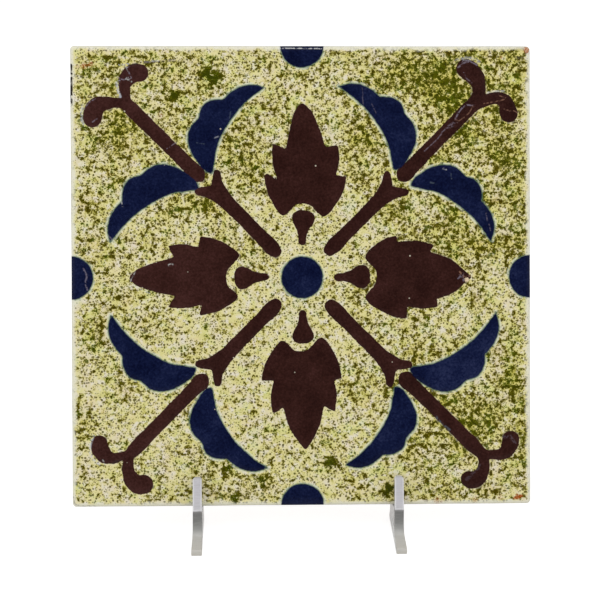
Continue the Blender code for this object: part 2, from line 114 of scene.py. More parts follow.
# One leaf for each quarter, top, left, bottom, right, all written as if upright: its tip and
# how round that is, the middle of its base, and on each side the upper notch, upper barb, lower
# notch, lower barb and base lobe
LEAVES = (
    {
        "tip": (0.0, 57.1),
        "tip_round": 0.36,
        "base": (0.4, 23.9),
        "right": ((8.0, 42.8), (12.2, 43.4), (11.5, 33.5), (14.9, 33.0), (6.8, 19.7)),
        "left": ((-5.2, 42.0), (-9.6, 43.9), (-8.1, 32.0), (-12.5, 34.0), (-5.8, 20.1)),
    },
    {
        "tip": (-0.6, 57.1),
        "tip_round": 0.37,
        "base": (-0.9, 25.0),
        "right": ((6.4, 42.3), (10.3, 44.3), (9.7, 34.2), (13.3, 33.7), (6.6, 20.8)),
        "left": ((-6.6, 42.1), (-10.2, 44.3), (-9.4, 33.1), (-12.9, 33.8), (-6.3, 21.2)),
    },
    {
        "tip": (-1.0, 57.5),
        "tip_round": 0.26,
        "base": (0.6, 24.9),
        "right": ((6.4, 43.7), (9.9, 45.7), (9.5, 34.7), (13.5, 34.7), (6.0, 21.5)),
        "left": ((-7.3, 43.3), (-10.9, 45.1), (-10.6, 34.7), (-13.2, 34.1), (-5.9, 20.4)),
    },
    {
        "tip": (0.5, 56.5),
        "tip_round": 0.20,
        "base": (0.2, 24.8),
        "right": ((7.8, 44.9), (10.3, 45.2), (10.2, 35.0), (14.3, 34.9), (6.9, 21.1)),
        "left": ((-8.0, 42.7), (-10.4, 43.9), (-11.4, 31.6), (-13.4, 31.7), (-5.8, 21.1)),
    },
)
LEAF_FLANK_BULGE = 0.75
LEAF_FLANK = 2
LEAF_SHARP_CORNERS = 4

# Half of a bud, in steps up the tile and to one side, from its crown down to the end of its neck
BUD_HALF = (
    (22.3, 0.0), (22.0, 2.2), (20.6, 3.7), (18.4, 3.5), (16.0, 2.1), (13.4, 1.35), (11.2, 1.0), (10.6, 0.0),
)
UPRIGHT = ((0.0, 1.0), (1.0, 0.0))

# A wing beside the leaf: three lobes on its outer side, one long hollow on its inner side
WING = (
    (12.3, 63.1, SHARP), (16.6, 64.1), (20.9, 63.2), (23.9, 61.3), (25.6, 59.7, SHARP), (29.2, 59.5),
    (32.6, 57.5), (33.8, 54.0, SHARP), (36.7, 50.7), (37.5, 46.9), (36.3, 42.4), (34.6, 39.5),
    (32.0, 36.5), (30.3, 36.1), (29.7, 38.4), (28.3, 44.7), (25.7, 49.8), (21.7, 55.3), (17.6, 59.3),
)

# The inner bar and its fork, and the outer bar, in steps along the diagonal and to one side
FORK_HALF = (
    (10.7, 0.0), (11.2, 1.5), (12.7, 2.2), (20.0, 2.3), (31.0, 2.35), (36.2, 2.6), (41.0, 3.7),
    (44.7, 5.4), (45.4, 4.8), (44.8, 3.0), (43.4, 1.0), (42.8, 0.0),
)
BAR_HALF = (
    (44.9, 0.0), (45.5, 1.3), (46.8, 2.5), (48.4, 2.9), (50.6, 2.6), (56.0, 2.4), (66.0, 2.35), (74.0, 2.4),
    (79.4, 2.4), (82.6, 1.8), (84.0, 0.0),
)

# The two curled arms at each bar's end, in the quarter's own frame: middle line and half widths.
# Quarters run top right, top left, bottom left, bottom right.
ARMS = (
    (
        (((56.4, 56.2), (58.7, 59.6), (59.0, 62.6), (58.0, 65.6), (55.7, 68.0), (54.6, 68.7)),
         (1.6, 2.0, 2.2, 3.0, 3.5, 3.1)),
        (((57.0, 56.2), (60.4, 57.7), (63.0, 58.7), (65.7, 58.8), (67.8, 57.4), (69.0, 53.7)),
         (1.6, 1.9, 1.9, 2.1, 2.5, 3.0)),
    ),
    (
        (((56.9, 58.2), (57.3, 61.2), (57.2, 64.2), (56.4, 67.0), (54.4, 68.5), (52.4, 68.9)),
         (1.4, 1.6, 2.2, 3.0, 3.2, 3.2)),
        (((57.2, 57.6), (59.9, 58.1), (62.4, 58.3), (65.2, 57.4), (67.0, 55.3), (67.1, 53.4)),
         (1.4, 1.7, 1.9, 2.7, 3.1, 3.0)),
    ),
    (
        (((57.2, 58.7), (59.9, 59.4), (62.9, 60.1), (65.5, 58.9), (67.0, 56.7), (67.2, 55.2)),
         (1.4, 1.4, 1.9, 2.8, 2.9, 2.8)),
        (((57.2, 59.2), (57.7, 61.9), (57.6, 64.6), (56.4, 67.4), (54.3, 68.7), (52.6, 68.7)),
         (1.4, 1.9, 2.1, 2.8, 3.3, 3.2)),
    ),
    (
        (((59.6, 60.4), (59.7, 63.0), (59.6, 66.0), (58.4, 68.0), (56.2, 69.2), (54.6, 69.4)),
         (1.6, 1.6, 1.9, 2.5, 2.9, 2.9)),
        (((58.9, 60.0), (61.9, 60.5), (64.9, 60.2), (67.4, 58.7), (68.1, 56.4), (67.9, 55.4)),
         (1.6, 1.8, 2.1, 2.7, 2.9, 2.8)),
    ),
)
CAP_STEPS = 12
CURVE_STEPS = 8
DIAGONAL = ((math.sqrt(0.5), math.sqrt(0.5)), (-math.sqrt(0.5), math.sqrt(0.5)))

# Where the hand put each copy: moved right, moved up, turned in degrees, enlarged. In each
# quarter, the copy next to the upright leaf comes first.
WING_HAND = (
    ((0.4, -0.6, 0.1, 1.02), (-0.8, 0.2, 1.3, 1.0)),
    ((-0.8, -1.0, -2.1, 1.05), (-0.1, -1.5, -2.1, 1.02)),
    ((-0.4, 0.8, 0.9, 1.0), (0.4, -0.5, -1.0, 1.02)),
    ((0.6, 0.7, -0.5, 1.05), (1.0, 0.1, -0.9, 0.95)),
)
FORK_HAND = (
    (0.2, -0.5, -0.1, 0.99), (-0.4, -0.2, -0.7, 1.01), (-0.2, 0.7, 0.2, 1.01), (1.2, 0.9, -0.1, 1.02),
)
BAR_HAND = ((0.3, -0.1, 0.4, 1.0), (-0.2, 0.5, 0.2, 0.99), (-0.8, 0.6, 0.3, 0.97), (0.6, 0.8, 0.2, 1.0))
BUD_HAND = ((0.4, -0.5, -3.1, 1.0), (-0.4, 0.1, 2.7, 1.0), (-0.3, 0.3, 1.1, 0.96), (0.3, 0.2, 2.1, 1.03))

# Soft patches on the face: across, up, radius and strength
PATCHES = {
    "speckling": (
        (62.0, 64.0, 20.0, 0.75), (38.0, 66.0, 16.0, 0.45), (68.0, 66.0, 10.0, 0.3),
        (60.0, 16.0, 14.0, 0.8), (62.0, -36.0, 14.0, 0.6), (60.0, -12.0, 12.0, -0.8),
        (-57.0, 62.0, 9.0, 0.6), (-70.0, 72.0, 8.0, -0.2), (-30.0, 40.0, 18.0, 0.35),
        (-52.0, 12.0, 16.0, -0.5), (0.0, 8.0, 16.0, -0.9), (-42.0, -40.0, 22.0, -0.8),
        (-12.0, 66.0, 14.0, -0.4), (10.0, -18.0, 18.0, -0.6), (40.0, -72.0, 10.0, 0.2),
        (60.0, -60.0, 20.0, 0.5), (-14.0, -38.0, 14.0, -0.7), (12.0, -62.0, 14.0, -0.8),
        (-68.0, -70.0, 10.0, -0.4), (70.5, -71.5, 5.0, -0.7),
    ),
    "green_blobs": (
        (-31.5, 67.2, 1.7, 1.0), (-28.1, 65.1, 1.6, 1.0), (-42.1, 59.9, 1.5, 1.0), (-22.9, -73.8, 1.5, 1.0),
        (-13.5, -67.9, 1.6, 1.0), (-24.3, -63.7, 1.4, 1.0), (9.1, -62.0, 1.5, 1.0), (28.9, -70.9, 1.6, 1.0),
    ),
    "rust": (
        (71.8, -74.0, 0.55, 1.2), (73.0, -73.5, 0.45, 0.9), (70.6, -74.3, 0.5, 0.7), (74.6, -73.5, 0.4, 0.6),
        (71.4, -72.9, 0.35, 0.6), (66.0, -74.0, 1.2, 0.45), (57.5, -74.6, 1.2, 0.5), (45.0, -75.0, 1.8, 0.5),
        (75.0, 74.8, 1.1, 0.8), (66.5, 72.4, 0.6, 0.6), (-71.6, 69.5, 0.9, 0.7), (-69.2, 70.0, 0.8, 0.7),
        (-73.9, 69.2, 0.7, 0.5), (-46.5, 53.2, 1.4, 0.45),
    ),
    "chipped": ((54.9, -1.4, 0.9, 0.75), (75.1, 75.0, 1.1, 0.80)),
}

# Worn, scratched and run lines on the face, by tone: half width, strength and the line's points.
# Some are painted light, marked where they stand: highlights and reflections on the raised glaze
# and the rounded edge, and one line of shade.
MARK_COLOURS = {
    "dark": (52, 46, 40), "cold": (96, 108, 118), "warm": (148, 108, 88),
    "pale": (150, 140, 156), "mist": (196, 198, 206), "white": (216, 216, 212),
}
CHAFE = ((-76.0, 69.6), (-75.9, 56.8))
MARKS_AND_HIGHLIGHTS = {
    "dark": (
        (0.60, 0.50, ((48.7, 70.2), (50.7, 71.0))),
        (0.30, 0.60, ((-62.6, -61.4), (-60.9, -60.8), (-60.1, -61.2))),
        (0.32, 1.00, ((-57.0, 69.9), (-52.6, 70.4), (-46.6, 70.9), (-41.0, 71.1))),
        (0.55, 0.90, ((72.0, 72.2), (73.0, 71.9))),
        (0.35, 0.70, ((-73.2, 66.2), (-71.4, 65.8))),
        # painted shade: a dark line round the bottom left corner where the edge turns away
        (0.25, 0.60, ((-75.9, -72.5), (-75.5, -75.0), (-73.6, -75.8), (-68.0, -75.9))),
    ),
    "cold": (
        (0.40, 0.60, ((44.8, -47.3), (46.4, -49.3), (48.7, -51.1))),
        (0.18, 0.35, ((-34.3, 44.1), (-32.0, 43.7))),
        (0.20, 0.35, ((-23.7, 51.9), (-23.4, 54.2))),
        (0.22, 0.45, ((49.7, 33.4), (49.8, 32.5))),
        (0.30, 0.45, ((43.2, 30.8), (44.6, 30.4))),
    ),
    "warm": (
        # the next three: painted reflections, light loops inside the raised brown glaze of the top right arm
        (0.20, 0.60, ((57.0, 56.1), (55.7, 53.9), (53.7, 52.2), (52.1, 51.2), (51.1, 51.7))),
        (0.20, 0.65, ((61.0, 57.1), (64.4, 57.7), (67.3, 58.3), (67.7, 58.9), (66.0, 59.6))),
        (0.22, 0.65, ((67.7, 55.1), (69.3, 54.6), (70.7, 54.7), (72.0, 53.9))),
        (0.30, 0.80, ((52.7, 1.0), (54.1, -0.7), (55.7, -0.2))),
    ),
    "pale": (
        (0.30, 0.55, ((52.4, 69.2), (54.1, 70.6), (56.4, 70.9), (58.0, 70.0))),
        (0.22, 0.35, ((54.1, 66.9), (55.0, 65.2), (56.4, 64.2))),
        # the next five: painted reflections, light lines and a patch inside the raised brown glaze of the top
        # right bar
        (0.26, 0.60, ((51.1, 51.9), (52.1, 53.9), (53.4, 55.6), (55.0, 56.6), (57.0, 56.4))),
        (0.60, 0.40, ((49.4, 49.6), (50.7, 50.4))),
        (0.22, 0.50, ((46.7, 47.6), (48.1, 48.9))),
        (0.22, 0.40, ((45.4, 45.6), (46.4, 46.9))),
        (0.20, 0.40, ((41.1, 41.6), (44.4, 44.6))),
        (0.22, 0.70, ((-60.6, 65.9), (-59.6, 65.1), (-58.6, 64.9))),
        (0.22, 0.60, ((-56.6, 66.9), (-56.1, 65.9))),
        # painted highlight on the left side of the top left arm
        (0.22, 0.50, ((-70.9, 56.2), (-69.9, 57.6), (-68.2, 58.4))),
        (0.22, 0.50, ((-68.5, 51.2), (-67.5, 51.9))),
        (0.60, 0.12, ((55.0, -67.6), (57.4, -65.6), (59.0, -63.6))),
        (0.45, 0.18, ((67.3, -53.9), (69.3, -53.6), (70.7, -55.6))),
        (0.18, 0.15, ((20.2, 62.2), (20.4, 60.4))),
        (0.20, 0.25, ((20.3, 58.9), (20.6, 56.2))),
        (0.20, 0.20, ((23.5, 56.6), (24.8, 53.9))),
        (0.22, 0.50, ((-63.9, 13.6), (-62.6, 12.3))),
        (0.22, 0.35, ((61.4, 20.3), (61.7, 18.3))),
        (0.22, 0.30, ((62.4, 16.6), (62.7, 15.3))),
        # painted highlight on the left half disc
        (0.30, 0.50, ((-71.9, 2.3), (-70.9, 0.3), (-71.5, -2.0), (-70.9, -4.0))),
        (0.30, 0.50, ((52.2, -0.7), (53.4, 0.3), (53.7, -1.3))),
        (0.18, 0.45, ((-44.1, 42.4), (-41.3, 44.3))),
    ),
    "mist": (
        (0.45, 0.50, ((50.7, 70.7), (52.4, 71.9), (55.0, 72.3), (57.7, 71.9), (59.0, 71.0))),
        (0.45, 0.90, ((-61.0, 63.9), (-60.5, 61.6), (-59.8, 59.6))),
        # the next two: painted highlights down the left sides of the top left and bottom left scrolls
        (0.45, 0.70, ((-72.1, 56.2), (-72.5, 54.2), (-72.5, 51.9), (-71.9, 50.2))),
        (0.40, 0.80, ((-69.2, -52.9), (-70.1, -55.2), (-70.3, -57.9), (-69.5, -60.2), (-67.5, -61.9))),
        (0.24, 0.40, ((-28.3, 45.9), (-27.7, 46.1))),
        (0.28, 0.50, ((47.4, 35.4), (47.7, 35.3))),
    ),
    "white": (
        (0.30, 0.65, ((62.0, 60.7), (64.0, 61.2), (67.0, 61.2))),
        (0.26, 0.50, ((-57.9, 69.4), (-57.2, 68.2))),
        (0.24, 0.55, ((-57.6, 65.2), (-56.2, 64.4))),
        # the next two: painted highlights along the left leaf's tip
        (0.22, 0.60, ((-56.7, -2.0), (-56.2, -0.3), (-55.2, 1.2))),
        (0.22, 0.60, ((-56.2, -2.3), (-54.3, -3.8), (-50.6, -5.4))),
        (0.35, 0.70, ((-43.6, 3.9), (-43.1, 4.0))),
        (0.25, 0.50, ((-65.9, -60.9), (-65.5, -61.9))),
        # painted highlight where the top half disc rounds over the edge
        (0.20, 0.90, ((-7.4, 75.3), (-2.0, 75.3), (6.4, 75.2))),
        (0.24, 0.50, ((-59.6, 25.3), (-59.1, 23.3))),
        (0.30, 0.70, ((-59.6, 69.8), (-55.2, 70.3))),
        (0.26, 0.60, ((-52.9, 70.8), (-46.6, 71.2), (-41.3, 71.3))),
    ),
}


def linear(red, green, blue):
    """Linear colour of a screen colour whose parts run from 0 to 255."""
    parts = np.array([red, green, blue]) / 255.0
    curved = ((parts + 0.055) / 1.055) ** 2.4
    return tuple(np.where(parts <= 0.04045, parts / 12.92, curved).tolist())


# Tones of the easel's sawn edge, by the share of SAWN_TOP, its height in millimetres. They hold
# painted light: painted shade darkest just below the nose and lighter towards the sole, a painted
# highlight line at the nose, and the lip lighter above it.
SAWN_TOP = 20.0
SAWN_TONES_AND_PAINTED_LIGHT = (
    (0.0, linear(206, 202, 190)),
    (0.10, linear(206, 203, 196)),
    (0.17, linear(196, 195, 191)),
    (0.23, linear(158, 158, 155)),
    (0.34, linear(132, 132, 130)),
    (0.53, linear(122, 121, 120)),
    (0.56, linear(238, 237, 240)),
    (0.60, linear(214, 212, 217)),
    (1.0, linear(210, 208, 213)),
)


# Settings

def setting(name, description, default, **kind):
    """A number property."""
    return bpy.props.FloatProperty(name=name, description=description, default=default, **kind)


def length(name, description, default):
    """A length property, in metres."""
    return setting(name, description, default, unit="LENGTH", precision=5)


def angle(name, description, degrees):
    """An angle property, from its degrees."""
    return setting(name, description, math.radians(degrees), subtype="ANGLE")


def colour(name, description, default):
    """A colour property."""
    return bpy.props.FloatVectorProperty(
        name=name, description=description, default=default, size=3, subtype="COLOR", min=0.0, max=1.0,
    )


class TileSettings(bpy.types.PropertyGroup):
    """Sizes and colours of the tile."""

    side: length("Side", "Length of each side of the tile", 0.1524)
    thickness: length("Thickness", "From the cream ground to the back", 0.008)
    arris: length("Arris radius", "Rounding of the tile's edges", 0.0013)
    relief: length("Glaze relief", "How far the thick glazes stand proud of the ground", 0.00022)
    shoulder: length("Glaze shoulder", "Width over which a thick glaze rounds off to its edge", 0.0017)
    wrap: length("Glaze wrap", "How far the half discs run down the edge", 0.0028)
    key_depth: length("Key depth", "Depth of the keys in the back", 0.0007)
    lean: angle("Lean", "How far the tile leans back", 15.0)
    cream: colour("Cream ground", "Bare ground between the specks", linear(225, 216, 158))
    wash: colour("Green wash", "Thin colour round the specks", linear(172, 162, 0))
    olive: colour("Olive specks", "The specks", linear(104, 97, 0))
    dark_olive: colour("Dark specks", "Middle of the thickest specks", linear(66, 59, 0))
    brown: colour("Brown glaze", "Leaves, buds and bars", linear(53, 28, 24))
    blue: colour("Blue glaze", "Wings and discs", linear(17, 25, 58))
    clay: colour("Fired clay", "Bare body on the back", linear(196, 168, 132))
    rust: colour("Rust stain", "Stains at chips and corners", linear(156, 70, 14))


class EaselSettings(bpy.types.PropertyGroup):
    """Sizes and colours of the easel."""

    plate: length("Plate thickness", "Thickness of each side plate", 0.003)
    spacing: length("Spacing", "Between the middles of the side plates", 0.0666)
    slip: length("Slip", "How far the easel stands to the right of the tile's middle", -0.0015)
    depth: length("Depth", "From toe to rear foot", 0.089)
    seat_height: length("Seat height", "Height of the tile's lower front edge", 0.0108)
    rod_radius: length("Rod radius", "Radius of the rods between the plates", 0.0025)
    arris: length("Arris", "Break of the plates' edges", 0.00022)
    clear: colour("Clear acrylic", "Tint of the polished faces", (0.985, 0.99, 0.988))
    # The sawn colour is a painted highlight, laid along the plates' arrises above the nose.
    sawn: colour("Sawn edge", "Tint of the sawn edges' bright arrises", linear(246, 245, 248))


class StageSettings(bpy.types.PropertyGroup):
    """The camera, floor and lights."""

    azimuth: angle("Azimuth", "Camera's turn round the object", -1.80)
    elevation: angle("Elevation", "Camera's height as an angle", 15.87)
    roll: angle("Roll", "Turn about the line of sight", 0.26)
    distance: length("Distance", "From the camera to the point it looks at", 0.5)
    lens: setting("Lens", "Focal length in millimetres", 90.12, min=1.0)
    floor: length("Floor", "Side of the floor", 14.0)


# Outlines in the plane of the face, in millimetres

def curves(starts, ends, leaving, arriving):
    """Points on the cubic from each start to each end that leaves and arrives with these slopes,
    CURVE_STEPS to each and without its end."""
    along = np.linspace(0.0, 1.0, CURVE_STEPS, endpoint=False)[None, :, None]
    run = (
        (2 * along**3 - 3 * along**2 + 1) * starts[:, None]
        + (along**3 - 2 * along**2 + along) * leaving[:, None]
        + (3 * along**2 - 2 * along**3) * ends[:, None]
        + (along**3 - along**2) * arriving[:, None]
    )
    return run.reshape(-1, starts.shape[1])


def flowing(points):
    """Closed outline through the points, by cubics that follow each point's neighbours. A SHARP
    point breaks the flow."""
    places = np.array([point[:2] for point in points], float)
    sharp = np.array([len(point) > 2 for point in points])[:, None]
    before = np.roll(places, 1, axis=0)
    after = np.roll(places, -1, axis=0)
    length_in = np.linalg.norm(places - before, axis=1)[:, None]
    length_out = np.linalg.norm(after - places, axis=1)[:, None]
    slope_in = (places - before) / length_in
    slope_out = (after - places) / length_out
    through = (slope_in * length_out + slope_out * length_in) / (length_in + length_out)
    leaving = np.where(sharp, slope_out, through) * length_out
    arriving = np.roll(np.where(sharp, slope_in, through) * length_in, -1, axis=0)
    return curves(places, after, leaving, arriving)


def stroke(path, half_widths):
    """Outline of a brush stroke: a smooth open line through the path, the half width eased
    from point to point on both sides of it, and a half round at each end."""
    places = np.column_stack([path, half_widths])
    beyond = np.vstack([2 * places[0] - places[1], places, 2 * places[-1] - places[-2]])
    slopes = (beyond[2:] - beyond[:-2]) / 2.0 * (1.0, 1.0, 0.0)
    run = np.vstack([curves(places[:-1], places[1:], slopes[:-1], slopes[1:]), places[-1:]])
    middle = run[:, :2]
    width = run[:, 2:]
    tangent = np.gradient(middle, axis=0)
    tangent /= np.linalg.norm(tangent, axis=1)[:, None]
    normal = np.stack([-tangent[:, 1], tangent[:, 0]], axis=1)
    turn = np.linspace(0.0, math.pi, CAP_STEPS + 2)[1:-1, None]
    far_cap = middle[-1] + width[-1] * (np.cos(turn) * normal[-1] + np.sin(turn) * tangent[-1])
    near_cap = middle[0] - width[0] * (np.cos(turn) * normal[0] + np.sin(turn) * tangent[0])
    return np.vstack([middle + normal * width, far_cap, (middle - normal * width)[::-1], near_cap])


def circle(middle, radius):
    """Round outline about the middle."""
    turn = np.arange(DISC_STEPS) * (2 * math.pi / DISC_STEPS)
    return np.array(middle) + radius * np.stack([np.cos(turn), np.sin(turn)], axis=1)


def by_hand(outline, hand):
    """The outline turned and enlarged about its own middle, then moved."""
    right, up, turn, enlarged = hand
    middle = outline.mean(axis=0)
    cosine = math.cos(math.radians(turn)) * enlarged
    sine = math.sin(math.radians(turn)) * enlarged
    turned = (outline - middle) @ np.array([[cosine, sine], [-sine, cosine]])
    return middle + turned + np.array([right, up])


def in_quarter(outline, quarter):
    """The outline turned by quarter turns about the tile's middle."""
    for _ in range(quarter):
        outline = outline[:, ::-1] * (-1.0, 1.0)
    return outline


def across_diagonal(outline):
    """The outline mirrored in the diagonal of its quarter."""
    return outline[::-1, ::-1]


def leaf_side(tip, tip_round, base, side, outward):
    """Points of one side of a leaf, from its tip to its base. Each run from one corner to the next
    goes through points at these shares of it; the notches and barbs are sharp."""
    runs = (
        ((tip_round, 0.14), (0.68, 0.48)),
        ((0.48, 0.55),),
        ((0.5, 0.5),),
        ((0.82, 1.0),),
        ((0.08, 0.28), (0.38, 0.66)),
        ((0.30, 0.38), (0.62, 0.90)),
    )
    corners = (tip, *side, base)
    points = []
    for number, run in enumerate(runs):
        first, second = np.array(corners[number:number + 2])
        bulge = outward * LEAF_FLANK_BULGE if number == LEAF_FLANK else 0.0
        points += [tuple(first + (second - first) * share + (bulge, 0.0)) for share in run]
        points.append((*second, SHARP) if number < LEAF_SHARP_CORNERS else tuple(second))
    return points[:-1]


def leaf(tip, tip_round, base, right, left):
    """Outline of one barbed leaf."""
    down = leaf_side(tip, tip_round, base, right, 1)
    up = leaf_side(tip, tip_round, base, left, -1)[::-1]
    return flowing([tip] + down + [base] + up)


def from_half(half, axes):
    """Outline from its half, in steps along and aside: the mirror image is added, and the whole
    is laid along two axes."""
    ring = list(half) + [(along, -aside) for along, aside in half[-2:0:-1]]
    return flowing(np.array(ring) @ np.array(axes))


def brown_outlines():
    """Brown shapes, each a list of outlines that flow into one another: leaves, buds, forks, and
    bars with their two curled arms."""
    shapes = []
    for quarter in range(4):
        arms = [stroke(*arm) for arm in ARMS[quarter]]
        drawn = [
            [leaf(**LEAVES[quarter])],
            [by_hand(from_half(BUD_HALF, UPRIGHT), BUD_HAND[quarter])],
            [by_hand(from_half(FORK_HALF, DIAGONAL), FORK_HAND[quarter])],
            [by_hand(from_half(BAR_HALF, DIAGONAL), BAR_HAND[quarter]), *arms],
        ]
        shapes += [[in_quarter(outline, quarter) for outline in shape] for shape in drawn]
    return shapes


def blue_outlines():
    """Blue shapes: the disc, the half discs and the wings."""
    shapes = [[circle(DISC_MIDDLE, DISC_RADIUS)]]
    wing = flowing(WING)
    for quarter in range(4):
        first_hand, second_hand = WING_HAND[quarter]
        drawn = [
            circle((HALF_DISC_SLIPS[quarter], HALF_DISC_OUT), HALF_DISC_RADIUS),
            by_hand(wing, first_hand),
            across_diagonal(by_hand(wing, second_hand)),
        ]
        shapes += [[in_quarter(outline, quarter)] for outline in drawn]
    return shapes


# Distances to painted edges

def resampled(outline):
    """The outline as short steps of about the same length, from its length along itself."""
    ring = np.vstack([outline, outline[:1]])
    reach = np.append(0.0, np.cumsum(np.linalg.norm(np.diff(ring, axis=0), axis=1)))
    count = int(math.ceil(reach[-1] / RESAMPLE))
    stops = np.linspace(0.0, reach[-1], count, endpoint=False)
    return np.stack([np.interp(stops, reach, ring[:, axis]) for axis in (0, 1)], axis=1)


def inside(places, outline):
    """Which places lie inside: a ray to the right crosses the outline an odd number of times."""
    start = outline[None]
    end = np.roll(outline, -1, axis=0)[None]
    x = places[:, 0, None]
    y = places[:, 1, None]
    crosses = (start[..., 1] > y) != (end[..., 1] > y)
    rise = np.where(crosses, end[..., 1] - start[..., 1], 1.0)
    where = start[..., 0] + (y - start[..., 1]) / rise * (end[..., 0] - start[..., 0])
    return (crosses & (x < where)).sum(axis=1) % 2 == 1


def distance_to(places, outline):
    """Signed distance to one outline, less than nothing inside: the least distance to any of its
    short straight steps, and FAR where the outline isn't near."""
    distance = np.full(len(places), FAR)
    start = resampled(outline)
    step = np.roll(start, -1, axis=0) - start
    in_box = (places > start.min(axis=0) - FAR) & (places < start.max(axis=0) + FAR)
    chosen = np.flatnonzero(in_box.all(axis=1))
    here = places[chosen]
    share = ((here[:, None] - start) * step).sum(axis=2) / (step**2).sum(axis=1)
    on_edge = start + np.clip(share, 0.0, 1.0)[..., None] * step
    away = np.linalg.norm(here[:, None] - on_edge, axis=2).min(axis=1)
    distance[chosen] = np.where(inside(here, start), -away, np.minimum(away, FAR))
    return distance


def joined(first, second):
    """Smallest of two distances, rounded where they are about equal, as wet colour fills a nook."""
    overlap = np.maximum(NOOK - np.abs(first - second), 0.0) / NOOK
    return np.minimum(first, second) - overlap**2 * NOOK / 4


def painted_edge(places, shapes, scale):
    """Signed distance to the nearest shape; outlines of one shape flow into one another."""
    distance = np.full(len(places), FAR)
    for shape in shapes:
        whole = distance_to(places, shape[0] * scale)
        for outline in shape[1:]:
            whole = joined(whole, distance_to(places, outline * scale))
        distance = np.minimum(distance, whole)
    return distance


def soft_patches(places, patches):
    """Sum of bell-shaped patches: strength times e to the minus half the squared distance in radii."""
    total = np.zeros(len(places))
    for *middle, radius, strength in patches:
        squared = ((places - middle) ** 2).sum(axis=1) / radius**2
        total += strength * np.exp(-squared / 2)
    return total


def tone_stops():
    """A place from 0 to 1 for each tone of the marks, and its colour."""
    last = len(MARK_COLOURS) - 1
    return [(step / last, linear(*shade)) for step, shade in enumerate(MARK_COLOURS.values())]


def nearest_mark(places):
    """What each place needs of the mark nearest to it: how far beyond its half width the place
    lies, how far aside of its line, signed and in half widths, and the mark's tone and strength."""
    names = ("mark_beyond", "mark_aside", "mark_tone", "mark_strength")
    found = np.zeros((len(names), len(places)))
    found[0] = FAR
    tones = dict(zip(MARK_COLOURS, tone_stops()))
    marks = [(tones[tone][0], *mark) for tone in MARKS_AND_HIGHLIGHTS for mark in MARKS_AND_HIGHLIGHTS[tone]]
    for tone, half_width, strength, points in marks:
        for start, end in zip(points[:-1], points[1:]):
            step = np.array(end) - np.array(start)
            away = places - np.array(start)
            share = np.clip(away @ step / (step @ step), 0.0, 1.0)
            beyond = np.linalg.norm(away - share[:, None] * step, axis=1) - half_width
            aside = (away[:, 1] * step[0] - away[:, 0] * step[1]) / np.linalg.norm(step) / half_width
            nearer = beyond < found[0]
            found[:, nearer] = np.stack(np.broadcast_arrays(beyond, aside, tone, strength))[:, nearer]
    return dict(zip(names, found))


def waves(places, rise, size, seed):
    """Smooth uneven surface: the rise times the mean of slanting sine waves of about this size."""
    chance = np.random.default_rng(seed)
    total = np.zeros(len(places))
    for _ in range(WAVE_COUNT):
        heading = chance.uniform(0.0, 2 * math.pi)
        pitch = 2 * math.pi / (size * chance.uniform(*WAVE_SPREAD))
        shift = chance.uniform(0.0, 2 * math.pi)
        total += np.sin((places[:, 0] * math.cos(heading) + places[:, 1] * math.sin(heading)) * pitch + shift)
    return rise * (total / WAVE_COUNT)


# The tile's mesh

def with_rounds(inner, sign):
    """Lines from one rounded edge to the other: where each stands before the rounding, and how far
    round an edge it lies, which runs from minus the sign to 0 on the flat and on to the sign."""
    rounds = sign * np.arange(ROUND_ROWS, 0, -1) / ROUND_ROWS
    place = np.concatenate([np.full(ROUND_ROWS, inner[0]), inner, np.full(ROUND_ROWS, inner[-1])])
    return place, np.concatenate([-rounds, np.zeros(len(inner)), rounds[::-1]])


